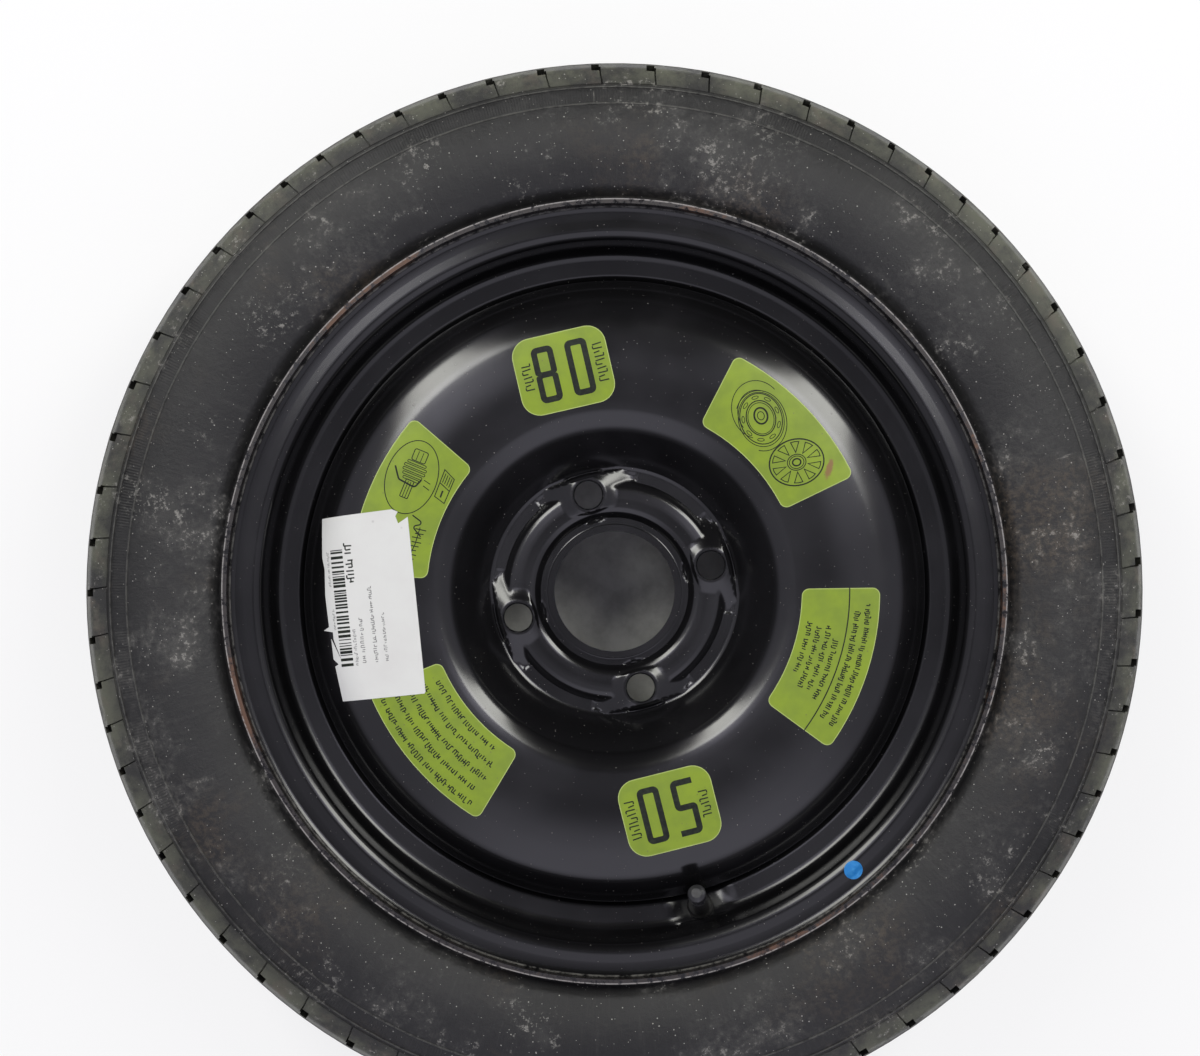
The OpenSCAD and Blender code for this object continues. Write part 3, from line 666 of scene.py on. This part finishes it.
seal_rubber, tree, shader = new_finish("seal_rubber")
marks = cloud(tree, wheel_places(tree)[0], 1200, 3)
put(tree, shader, Base_Color=tint(tree, marks, (0.09, 0.022, 0.018), (0.15, 0.04, 0.032)),
    Roughness=rise(tree, marks, 0.3, 0.7, 0.5, 0.65))
for name in ("core_barrel_seal", "core_cup_seal", "valve_cap_seal"):
    dress(name, seal_rubber)

cap_plastic, tree, shader = new_finish("cap_plastic")
place = wheel_places(tree)[0]
grain = cloud(tree, place, 1500, 3)
worn = rise(tree, cloud(tree, place, 260, 3), 0.5, 0.7)
put(tree, shader, Base_Color=tint(tree, worn, (0.020, 0.020, 0.022), (0.050, 0.050, 0.054)),
    Roughness=rise(tree, grain, 0.3, 0.7, 0.28, 0.40))
relief(tree, shader, grain, 0.00005)
dress("valve_cap", cap_plastic)

# Stickers: green vinyl film cut to shape and pressed onto the dome, with black print and a painted highlight
# round each edge.
# Each is drawn flat, cut into a fine grid so that it can bend, and laid on the disc's own surface.
FILM = 0.15
FILM_GAP = 0.05
EDGE_WIDE = 0.4
IN_R = 99.5
OUT_R = 141.0
ARC = 37.0


def polar(r, turn):
    return Vector((r * math.cos(math.radians(turn)), r * math.sin(math.radians(turn))))


def on_dome(x, y, up):
    r = math.hypot(x, y)
    low, high = height_on(disc_top, r - 0.5), height_on(disc_top, r + 0.5)
    lean = Vector((low - high, 1.0)).normalized()
    r_up = r + lean.x * up
    return Vector((x * r_up / r, y * r_up / r, height_on(disc_top, r) + lean.y * up)) * MM


def lay_on_dome(name, faces, up, thick, grid=(2.5, 2.5), finishes=None):
    """Makes flat faces, each a list of (x, y) in mm, into one piece that lies up mm above the disc."""
    mesh = bpy.data.meshes.new(name)
    points = [(p[0] * MM, p[1] * MM, 0) for face in faces for p in face]
    starts = [sum(len(f) for f in faces[:i]) for i in range(len(faces))]
    mesh.from_pydata(points, [], [list(range(a, a + len(f))) for a, f in zip(starts, faces)])
    for face, finish in zip(mesh.polygons, finishes or []):
        face.material_index = finish
    obj = bpy.data.objects.new(name, mesh)
    bpy.context.scene.collection.objects.link(obj)
    only(obj)
    bpy.ops.object.mode_set(mode="EDIT")
    bpy.ops.mesh.select_all(action="SELECT")
    bpy.ops.mesh.remove_doubles(threshold=1e-6)
    for axis in (0, 1):
        low = min(p[axis] for p in points)
        high = max(p[axis] for p in points)
        for k in range(1, int((high - low) / (grid[axis] * MM)) + 1):
            where = [0, 0, 0]
            where[axis] = low + k * grid[axis] * MM
            normal = [0, 0, 0]
            normal[axis] = 1
            bpy.ops.mesh.select_all(action="SELECT")
            bpy.ops.mesh.bisect(plane_co=where, plane_no=normal, threshold=1e-7)
    bpy.ops.mesh.select_all(action="DESELECT")
    work = bmesh.from_edit_mesh(mesh)
    for face in work.faces:
        face.select_set(face.normal.z < 0)
    bmesh.update_edit_mesh(mesh)
    bpy.ops.mesh.flip_normals()
    bpy.ops.object.mode_set(mode="OBJECT")
    for vertex in mesh.vertices:
        vertex.co = on_dome(vertex.co.x / MM, vertex.co.y / MM, up)
    wall = obj.modifiers.new("thickness", "SOLIDIFY")
    wall.thickness = thick * MM
    wall.offset = 1
    bpy.ops.object.modifier_apply(modifier=wall.name)
    soften(obj, 40)
    return obj


def round_corner(centre, bend, start, steps=6):
    return [centre + polar(bend, start + 90 * k / steps) for k in range(steps + 1)]


def turned(points, turn):
    swing = Matrix.Rotation(math.radians(turn), 2)
    return [swing @ Vector(p) for p in points]


def sector_film(bend=4.0):
    half = ARC / 2
    near = math.degrees(math.asin(bend / (IN_R + bend)))
    far = math.degrees(math.asin(bend / (OUT_R - bend)))
    line = round_corner(polar(OUT_R - bend, far - half), bend, -half - 90)
    line += [polar(OUT_R, -half + far + (ARC - 2 * far) * k / 12) for k in range(1, 12)]
    line += round_corner(polar(OUT_R - bend, half - far), bend, half)
    line += round_corner(polar(IN_R + bend, half - near), bend, half + 90)
    line += [polar(IN_R, half - near - (ARC - 2 * near) * k / 12) for k in range(1, 12)]
    line += round_corner(polar(IN_R + bend, near - half), bend, 180 - half)
    return line


def number_film(width=50.6, bend=10.0):
    half = width / 2 - bend
    line = []
    for r, y, start in ((OUT_R - bend, half, 0), (IN_R + bend, half, 90), (IN_R + bend, -half, 180),
                        (OUT_R - bend, -half, 270)):
        line += round_corner(Vector((r, y)), bend, start, 9)
    return line


def beside(points, way, closed=False):
    """A line moved sideways by way, to its left, and mitred at its corners."""
    points = [Vector(p) for p in points]
    count = len(points)
    moved = []
    for i, p in enumerate(points):
        ahead = points[(i + 1) % count] - p if closed or i < count - 1 else p - points[i - 1]
        behind = p - points[i - 1] if closed or i else ahead
        a, b = (Vector((-run.y, run.x)).normalized() for run in (behind, ahead))
        across = (a + b).normalized()
        moved.append(p + across * (way / max(0.4, across.dot(a))))
    return moved


def strip(points, width, closed=False):
    """Faces of a printed line along points."""
    left, right = beside(points, width / 2, closed), beside(points, -width / 2, closed)
    count = len(left)
    ends = range(count if closed else count - 1)
    return [[right[i], right[(i + 1) % count], left[(i + 1) % count], left[i]] for i in ends]


def loop(centre, wide, tall, lean=0.0, count=36, start=0.0, sweep=360.0):
    """Points of an ellipse, or of part of one."""
    closed = sweep >= 360
    points = []
    for k in range(count if closed else count + 1):
        p = Vector((wide * math.cos(math.radians(start + sweep * k / count)),
                    tall * math.sin(math.radians(start + sweep * k / count))))
        points.append(Matrix.Rotation(math.radians(lean), 2) @ p + Vector(centre))
    return points


def frame_line(x0, y0, x1, y1, bend, steps=4):
    """Points of a box with rounded corners."""
    line = []
    for x, y, start in ((x1 - bend, y1 - bend, 0), (x0 + bend, y1 - bend, 90), (x0 + bend, y0 + bend, 180),
                        (x1 - bend, y0 + bend, 270)):
        line += round_corner(Vector((x, y)), bend, start, steps)
    return line


dice = random.Random(7)


def print_line(place, length, tall, pen=0.5, pitch=1.1):
    """A line of print without letters: marks in groups; place gives the spot for (along, up) in mm."""
    faces = []
    along = 0.0
    word = dice.randint(4, 9)
    while along < length:
        if word == 0:
            word = dice.randint(3, 9)
            along += pitch
            continue
        low = -tall * dice.choice((0.35, 0.35, 0.5))
        high = tall * dice.choice((0.2, 0.35, 0.5))
        faces += strip([place(along, low), place(along + dice.uniform(-0.2, 0.2), high)], pen)
        if dice.random() < 0.6:
            level = dice.choice((low, 0, high))
            faces += strip([place(along, level), place(along + pitch * 0.9, level)], pen)
        along += pitch
        word -= 1
    return faces


def arc_lines(rows, pen, pitch):
    """Lines of print along arcs; a row is (radius, first and last turn in degrees, height of the print)."""
    faces = []
    for r, low, high, tall in rows:
        length = math.radians(high - low) * r
        faces += print_line(lambda along, up: polar(r + up, low + math.degrees(along / r)), length, tall, pen,
                            pitch)
    return faces


def placed(faces, turn):
    return [turned(face, turn) for face in faces]


def band(outer, inner):
    """Faces between two closed lines with the same number of points."""
    count = len(outer)
    return [[outer[i], outer[(i + 1) % count], inner[(i + 1) % count], inner[i]] for i in range(count)]


def box_line(x0, y0, x1, y1, low_bend, high_bend, steps=6):
    """Points of a box whose two lower and two upper corners have their own bends."""
    line = []
    for x, y, bend, start in ((x1, y1, high_bend, 0), (x0, y1, high_bend, 90), (x0, y0, low_bend, 180),
                              (x1, y0, low_bend, 270)):
        inwards = Vector((-1 if x == x1 else 1, -1 if y == y1 else 1)) * bend
        line += round_corner(Vector((x, y)) + inwards, bend, start, steps)
    return line


DIGIT_WIDE = 11.9
DIGIT_TALL = 30.0
DIGIT_PEN = 3.2


def digit(number, x):
    """A plain digit in sticker places (x across, y up)."""
    left, right, top = x - DIGIT_WIDE / 2, x + DIGIT_WIDE / 2, DIGIT_TALL / 2
    pen, bend = DIGIT_PEN, 3.2
    if number == 0:
        return band(box_line(left, -top, right, top, bend, bend),
                    box_line(left + pen, -top + pen, right - pen, top - pen, 0.6, 0.6))
    if number == 8:
        high = band(box_line(left, 0, right, top, 1.5, bend),
                    box_line(left + pen, pen / 2, right - pen, top - pen, 0.6, 0.6))
        return high + [[Vector((p[0], -p[1])) for p in face[::-1]] for face in high]
    half = pen / 2
    corners = [
        (right, top - half, 0), (left + half, top - half, 1.7), (left + half, 0, 0.9), (right - half, 0, 1.7),
        (right - half, -top + half, 1.7), (left, -top + half, 0),
    ]
    return strip(bent_line(corners, arc=15), pen)


def upright(faces):
    """Sticker places (x across, y up) to the film's own, where x is the wheel's radius."""
    middle = (IN_R + OUT_R) / 2
    return [[Vector((middle + p[1], -p[0])) for p in face] for face in faces]


green_vinyl, tree, shader = new_finish("green_vinyl")
place = wheel_places(tree)[0]
blotch = cloud(tree, place, 60, 4, 0.6)
soil = specks(tree, place, 420, 0.22, 0.07)
film = tint(tree, rise(tree, blotch, 0.3, 0.75), (0.222, 0.309, 0.019), (0.172, 0.246, 0.020))
film = tint(tree, calc(tree, "MULTIPLY", soil, 0.5), film, (0.12, 0.10, 0.06))
smear_place = node(tree, "ShaderNodeMapping", {
    "Vector": place, "Location": (0.1270, 0.0329, 0), "Rotation": (0, 0, math.radians(58)),
    "Scale": (0.0072, 0.0024, 1)}, vector_type="TEXTURE").outputs[0]
smear = node(tree, "ShaderNodeVectorMath", {0: smear_place}, operation="LENGTH").outputs["Value"]
smear = rise(tree, calc(tree, "ADD", smear, cloud(tree, place, 420, 5, 0.75)), 1.45, 0.95)
film = tint(tree, calc(tree, "MULTIPLY", smear, 0.85), film, (0.22, 0.10, 0.045))
put(tree, shader, Base_Color=film, Roughness=rise(tree, blotch, 0.3, 0.7, 0.34, 0.46), Specular_IOR_Level=0.4)
relief(tree, shader, cloud(tree, place, 160, 2), 0.00008)

# A lighter green band round each sticker's cut edge: a painted highlight.
film_edge_highlight, tree, shader = new_finish("film_edge_highlight")
blotch = cloud(tree, wheel_places(tree)[0], 300, 3)
put(tree, shader, Base_Color=tint(tree, blotch, (0.34, 0.43, 0.10), (0.46, 0.55, 0.20)),
    Roughness=rise(tree, blotch, 0.3, 0.7, 0.4, 0.5), Specular_IOR_Level=0.4)

black_ink, tree, shader = new_finish("black_ink")
place = wheel_places(tree)[0]
fade = cloud(tree, place, 500, 4)
fade_colour = tint(tree, rise(tree, fade, 0.35, 0.75), (0.005, 0.007, 0.005), (0.018, 0.024, 0.014))
put(tree, shader, Base_Color=fade_colour, Roughness=rise(tree, fade, 0.3, 0.7, 0.45, 0.6),
    Specular_IOR_Level=0.25)


def stick(name, outline, print_faces, turn, replaced):
    outline = turned(outline, turn)
    # The band between the outline and the line inside it takes the painted edge highlight.
    middle = beside(outline, EDGE_WIDE, closed=True)
    faces = [middle] + band(outline, middle)
    film_piece = lay_on_dome(name, faces, FILM_GAP, FILM, finishes=[0] + [1] * len(outline))
    film_piece.data.materials.append(green_vinyl)
    film_piece.data.materials.append(film_edge_highlight)
    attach(film_piece, "wheel")
    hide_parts(replaced)
    if print_faces:
        ink = lay_on_dome(name + "_print", placed(print_faces, turn), FILM_GAP + FILM + 0.02, 0.015)
        ink.data.materials.append(black_ink)
        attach(ink, "wheel")


HIGH_TURN = 87.8
LOW_TURN = 268.9


def side_marks(x, reach, count, wide):
    """A short line of print without letters, which reads upwards beside the digits."""
    faces = []
    for k in range(count):
        y = -reach / 2 + reach * k / (count - 1)
        short = 0.35 if k % 3 == 1 else 0.0
        faces += strip([(x - wide / 2, y), (x + wide / 2 - wide * short, y + 0.5 * (k % 2))], 0.7)
        if k % 2 == 0:
            end = x + wide / 2 if k % 4 else x - wide / 2
            faces += strip([(end, y), (end, y + reach / (count - 1) * 0.7)], 0.7)
    return faces


print_beside = side_marks(-19.2, 12.5, 7, 4.6) + side_marks(20.2, 19.5, 10, 5.0)
eighty = digit(8, -9.1) + digit(0, 9.1)
fifty = digit(5, -9.1) + digit(0, 9.1)
stick("number_film_high", number_film(), upright(eighty + print_beside), HIGH_TURN, "number_sticker_high")
stick("number_film_low", number_film(), upright(fifty + print_beside), LOW_TURN, "number_sticker_low")

WHEEL_TURN = 29.1
rings = []
FRONT_LEAN = 62.0
for x, y, across, along, start, sweep, pen in (
        (121.6, 16.0, 15.6, 13.6, -60, 212, 0.42), (120.6, 14.6, 12.2, 10.6, -34, 150, 0.42),
        (118.9, 10.4, 16.2, 13.4, -205, 258, 0.45), (119.4, 10.9, 14.6, 12.0, 0, 360, 0.42),
        (119.6, 11.2, 13.6, 11.1, 0, 360, 0.55), (119.8, 11.5, 9.4, 7.7, 0, 360, 0.60),
        (119.7, 11.4, 8.4, 6.8, 0, 360, 0.40), (120.6, 12.4, 4.3, 3.5, 0, 360, 0.95),
        (120.6, 12.4, 2.2, 1.8, 0, 360, 0.45)):
    rings += strip(loop((x, y), across, along, FRONT_LEAN, 44, start, sweep), pen, closed=sweep == 360)
SLOT_STEPS = 9
for k in range(SLOT_STEPS):
    share = math.tau * k / SLOT_STEPS
    swing = Matrix.Rotation(math.radians(FRONT_LEAN), 2)
    middle = Vector((119.7, 11.3)) + swing @ Vector((11.5 * math.cos(share), 9.4 * math.sin(share)))
    rings += strip(loop(middle, 0.75, 1.8, math.degrees(share) + FRONT_LEAN, 12), 0.38, closed=True)
SPOKE_HUB = Vector((117.0, -18.5))
SPOKE_LEAN = -29.0


def on_spokes(r, turn):
    flat = Vector((r * math.cos(math.radians(turn)), r * 0.84 * math.sin(math.radians(turn))))
    return SPOKE_HUB + Matrix.Rotation(math.radians(SPOKE_LEAN), 2) @ flat


spokes = strip([on_spokes(14.6, 9 * k) for k in range(40)], 0.75, closed=True)
for wide, pen in ((5.0, 0.5), (3.9, 0.45), (2.2, 0.8)):
    spokes += strip([on_spokes(wide, 15 * k) for k in range(24)], pen, closed=True)
for k in range(10):
    turn = k * 36 + 10
    wedge = [(6.2, 0), (12.9, 10), (13.0, 0), (12.9, -10)]
    spokes += strip([on_spokes(r, turn + side) for r, side in wedge], 0.5, closed=True)
stick("wheel_film", sector_film(), rings + spokes, WHEEL_TURN, "wheel_sticker")

TOOL_TURN = 142.4
tool = strip(loop((122.6, -15.0), 13.6, 20.0, 3, 56), 0.5, closed=True)
TOOL_MID = 122.6
for y0, y1, half, bend in ((-30.0, -23.8, 3.8, 1.0), (-13.2, -3.4, 2.2, 0.5)):
    tool += strip(frame_line(TOOL_MID - half, y0, TOOL_MID + half, y1, bend), 0.5, closed=True)
    for k in (-1, 1):
        tool += strip([(TOOL_MID + k * half / 3, y0 + 0.8), (TOOL_MID + k * half / 3, y1 - 0.3)], 0.4)
for k, half in enumerate((5.2, 6.2, 6.2, 5.4, 4.4)):
    y = -23.2 + k * 2.2
    tool += strip(frame_line(TOOL_MID - half, y, TOOL_MID + half, y + 1.3, 0.5), 0.42, closed=True)
tool += strip(bent_line([(133.0, -17.5, 0), (128.6, -11.5, 2), (119.1, -10.5, 2), (117.2, -15.5, 0)]), 0.9)
tool += strip([(115.2, -13.0), (111.4, -12.0)], 0.5)
tool += strip([(115.8, -16.0), (112.0, -15.2)], 0.5)
booklet = [(107.8, -25.4), (101.2, -22.4), (101.4, -8.6), (107.5, -10.2)]
tool += strip(booklet, 0.5, closed=True)
tool += strip([(107.6, -18.0), (101.3, -15.6)], 0.5)
for k in range(4):
    x = 102.4 + k * 1.35
    tool += strip([(x, -22.2 - k * 0.5), (x, -17.4 - k * 0.4)], 0.45)
tool += strip([(104.6, -14.6), (104.5, -10.8)], 0.9)
small = [(114.5, 3.5), (107.0, 5.5), (112.5, 9.0), (106.2, 12.5)]
tool += strip(bent_line([(x, y, 1.2) for x, y in small]), 0.7)
for k in range(8):
    y = 8.5 + k * 2.35
    tool += strip([(104.6 + 0.5 * (k % 3), y), (110.4 - 0.7 * (k % 2), y + 1.0)], 0.55)
tool += strip([(108.3, 8.0), (107.4, 17.0), (107.9, 27.0)], 0.5)
stick("tool_film", sector_film(), tool, TOOL_TURN, "tool_sticker")

TEXT_TURN = 205.4
text_rows = (
    (105.2, -13.5, 12, 3.4), (112.9, -15, 14, 3.4), (120.7, -15, 14.5, 3.4), (128.3, -15.2, 14.6, 3.4),
    (136.0, -16, 15.6, 3.4))
words = arc_lines(text_rows, 0.62, 1.35)
stick("text_film", sector_film(), words, TEXT_TURN, "text_sticker")

TWO_TURN = 327.1
words = strip([polar(124.8, -ARC / 2 + ARC * k / 14) for k in range(15)], 0.65)
inner_rows = ((105.0, -6, 9, 3.0), (110.2, -9.5, 7.5, 3.0), (115.2, -9, 9, 3.0), (120.2, -10.5, 6, 3.0))
outer_rows = ((129.2, -13.5, 13, 3.4), (135.0, -14, 14.5, 3.4))
words += arc_lines(inner_rows, 0.6, 1.25) + arc_lines(outer_rows, 0.62, 1.1)
stick("two_part_film", sector_film(), words, TWO_TURN, "two_part_sticker")

# Paper label: matt white paper stuck over two of the stickers, torn along its outer edge.
PAPER_AT = Vector((-125.0, 26.5))
PAPER_TURN = -9.4
paper_line = [
    (21.9, -49.5), (22.5, -48.5), (22.5, 44.7), (17.1, 41.7), (16.0, 45.7), (17.5, 47.9), (14.5, 49.5),
    (-24.0, 48.5), (-25.5, 27.5), (-24.7, 21.5), (-25.7, 7.5), (-25.3, -9.3), (-28.5, -11.0), (-23.5, -12.3),
    (-23.5, -16.2), (-20.2, -27.9), (-24.8, -15.7), (-24.7, -26.7), (-22.2, -29.5), (-24.2, -30.6),
    (-22.2, -49.5),
]


def on_paper(points):
    swing = Matrix.Rotation(math.radians(PAPER_TURN), 2)
    return [swing @ Vector(p) + PAPER_AT for p in points]


white_paper, tree, shader = new_finish("white_paper")
place = wheel_places(tree)[0]
fibre = cloud(tree, place, 900, 4, 0.7)
stain = cloud(tree, place, 45, 4)
mark = specks(tree, place, 150, 0.16, 0.12)
sheet_colour = tint(tree, rise(tree, stain, 0.4, 0.8, 0, 0.5), (0.655, 0.660, 0.632), (0.600, 0.588, 0.570))
sheet_colour = tint(tree, calc(tree, "MULTIPLY", mark, 0.35), sheet_colour, (0.30, 0.29, 0.28))
put(tree, shader, Base_Color=sheet_colour, Roughness=rise(tree, fibre, 0.3, 0.7, 0.72, 0.85),
    Specular_IOR_Level=0.25)
relief(tree, shader, fibre, 0.00004)
paper = lay_on_dome("paper_sheet", [on_paper(paper_line)], 2 * FILM_GAP + FILM, FILM, (1.0, 3.0))
paper.data.materials.append(white_paper)
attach(paper, "wheel")
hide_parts("paper_label")

marks = []
y = 31.0
while y > -30:
    thick = dice.choice((0.5, 0.5, 1.0, 1.0, 1.5))
    y -= thick / 2
    marks += strip([(-20.6, y), (-14.0, y)], thick)
    y -= thick / 2 + dice.choice((0.5, 0.5, 0.9, 1.4))


def column(x, first):
    """Places along a column of print that reads up the paper."""
    return lambda along, up: Vector((x - up, first + along))


marks += print_line(column(-10.9, 13.5), 20.0, 4.0, 0.75, 1.9)


def paper_print(name, faces, ink):
    piece = lay_on_dome(name, [on_paper(f) for f in faces], 2 * FILM_GAP + 2 * FILM + 0.03, 0.015,
                        (1.0, 3.0))
    piece.data.materials.append(ink)
    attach(piece, "wheel")


paper_print("paper_print", marks, black_ink)

# The small print is paler; each column is (across, first place along, length, height, pen, pitch)
grey_ink, tree, shader = new_finish("grey_ink")
fade = cloud(tree, wheel_places(tree)[0], 700, 4)
put(tree, shader, Base_Color=tint(tree, fade, (0.10, 0.10, 0.10), (0.32, 0.32, 0.31)),
    Roughness=rise(tree, fade, 0.3, 0.7, 0.6, 0.7), Specular_IOR_Level=0.25)
small_print = []
for x, first, length, tall, pen, pitch in (
        (-12.0, -31, 19, 1.6, 0.34, 0.9), (-8.0, -30, 23, 2.1, 0.42, 1.15), (-1.6, -30, 41, 2.1, 0.42, 1.15),
        (4.0, -30, 25, 1.7, 0.36, 0.95), (-22.3, 12, 19, 1.2, 0.28, 0.8), (-22.0, -11, 11, 1.2, 0.28, 0.8)):
    small_print += print_line(column(x, first), length, tall, pen, pitch)
paper_print("paper_small_print", small_print, grey_ink)

# Paint dot: a round spot of blue paint on the outer flange.
blue_spot, tree, shader = new_finish("blue_spot")
place = wheel_places(tree)[0]
brush = cloud(tree, place, 380, 3)
blue = tint(tree, rise(tree, brush, 0.45, 0.75), (0.016, 0.185, 0.50), (0.040, 0.26, 0.60))
put(tree, shader, Base_Color=blue, Roughness=rise(tree, brush, 0.3, 0.7, 0.35, 0.5), Specular_IOR_Level=0.3)
relief(tree, shader, brush, 0.00015)
dress("paint_dot", blue_spot)

# Floor, lights and camera: a pale floor, painted a darker grey as shade under the wheel, two soft lamps and a
# pale room.
bpy.ops.object.select_all(action="DESELECT")
bpy.ops.mesh.primitive_plane_add(size=200, location=(0, 0, cad_box[0][2]))
floor = bpy.context.active_object
floor.name = "floor"
floor_paint, tree, shader = new_finish("floor_paint")
place, radius, turn, height = wheel_places(tree)
# Under the wheel, where the floor shows through the bore and bolt holes, it is painted a blotchy darker grey:
# painted shade.
under = cloud(tree, place, 40, 5, 0.65)
shaded = tint(tree, rise(tree, under, 0.35, 0.7), (0.62, 0.62, 0.58), (0.42, 0.42, 0.39))
put(tree, shader, Base_Color=tint(tree, rise(tree, radius, 0.240, 0.275), shaded, (0.84, 0.84, 0.84)),
    Roughness=0.9, Specular_IOR_Level=0.2)
rays = node(tree, "ShaderNodeLightPath")
seen = calc(tree, "MAXIMUM", rays.outputs["Is Camera Ray"], calc(
    tree, "MAXIMUM", rays.outputs["Is Glossy Ray"], rays.outputs["Is Transmission Ray"]))
open_floor = rise(tree, radius, 0.240, 0.275, 0.0, 0.76)
glow = node(tree, "ShaderNodeEmission", {"Color": (1, 1, 1, 1), "Strength": 1.0})
shade = node(tree, "ShaderNodeMixShader", {
    0: calc(tree, "MULTIPLY", seen, open_floor),
    1: shader.outputs[0], 2: glow.outputs[0]})
tree.links.new(shade.outputs[0], tree.nodes["Material Output"].inputs["Surface"])
floor.data.materials.append(floor_paint)

room = bpy.data.worlds.new("room")
bpy.context.scene.world = room
room.use_nodes = True
tree = room.node_tree
DARK_TURN = 66.8
BRIGHT_TURN = 262.8
RIGHT_TURN = 26.6
LEFT_TURN = 114.6


def direction(turn, lean):
    across = math.sin(math.radians(lean))
    return Vector((across * math.cos(math.radians(turn)), across * math.sin(math.radians(turn)),
                   math.cos(math.radians(lean))))


way = node(tree, "ShaderNodeTexCoord").outputs["Generated"]
x, y, up = node(tree, "ShaderNodeSeparateXYZ", {0: way}).outputs
across = calc(tree, "SQRT", calc(tree, "ADD", calc(tree, "MULTIPLY", x, x), calc(tree, "MULTIPLY", y, y)))


def towards(turn):
    """Cosine of the angle, seen from above, between the ray and a side of the room."""
    along = node(tree, "ShaderNodeVectorMath", {0: way, 1: direction(turn, 90)}, operation="DOT_PRODUCT")
    return calc(tree, "DIVIDE", along.outputs["Value"], calc(tree, "MAXIMUM", across, 0.02))


# The room is dim behind the two lamps, between them it is dark, and the side across from them is brighter
dark = calc(tree, "MULTIPLY", rise(tree, towards(DARK_TURN), 0.76, 0.92), rise(tree, across, 0.0, 0.14))
bright = calc(tree, "MULTIPLY", rise(tree, towards(BRIGHT_TURN), 0.57, 0.94), rise(tree, across, 0.05, 0.30))
light = calc(tree, "MULTIPLY", rise(tree, across, 0.0, 0.25, 0.14, 0.47), rise(tree, dark, 0, 1, 1, 0.08))
light = calc(tree, "ADD", light, calc(tree, "MULTIPLY", bright, 0.52))
under_lamps = calc(tree, "MULTIPLY", rise(tree, across, 0.05, 0.14), rise(tree, across, 0.60, 0.45))
for turn in (RIGHT_TURN, LEFT_TURN):
    glow = calc(tree, "MULTIPLY", rise(tree, towards(turn), 0.962, 0.993), under_lamps)
    light = calc(tree, "ADD", light, calc(tree, "MULTIPLY", glow, 2.0))
light = calc(tree, "MULTIPLY", light, rise(tree, up, 0.12, 0.48, 0.15, 1.0))
tree.links.new(light, tree.nodes["Background"].inputs["Strength"])
tree.nodes["Background"].inputs["Color"].default_value = (0.96, 0.94, 1.10, 1)


def soft_lamp(name, turn, lean, wide, tall, power):
    """A rectangular soft lamp 2.2 m from the wheel, which faces it."""
    light = bpy.data.lights.new(name, "AREA")
    light.shape = "RECTANGLE"
    light.size = wide
    light.size_y = tall
    light.energy = power
    light.color = (1.0, 1.0, 0.93)
    lamp = bpy.data.objects.new(name, light)
    bpy.context.scene.collection.objects.link(lamp)
    lamp.location = direction(turn, lean) * 2.2
    lamp.rotation_euler = direction(turn, lean).to_track_quat("Z", "Y").to_euler()
    lamp.visible_camera = False


soft_lamp("lamp_right", RIGHT_TURN, 45, 0.52, 1.78, 23.0)
soft_lamp("lamp_left", LEFT_TURN, 45, 0.52, 1.78, 23.0)

WIDE, TALL = 1200, 1056
WHEEL_AT = (614.5, 591.3)
lens = bpy.data.cameras.new("camera")
lens.sensor_fit = "HORIZONTAL"
lens.sensor_width = 36
lens.lens = 69.4
lens.shift_x = -(WHEEL_AT[0] - WIDE / 2) / WIDE
lens.shift_y = (WHEEL_AT[1] - TALL / 2) / WIDE
camera = bpy.data.objects.new("camera", lens)
bpy.context.scene.collection.objects.link(camera)
camera.location = (0, 0, 1.26)
camera.rotation_euler = (0, 0, math.radians(-15.2))
bpy.context.scene.camera = camera
bpy.context.scene.view_settings.view_transform = "Standard"
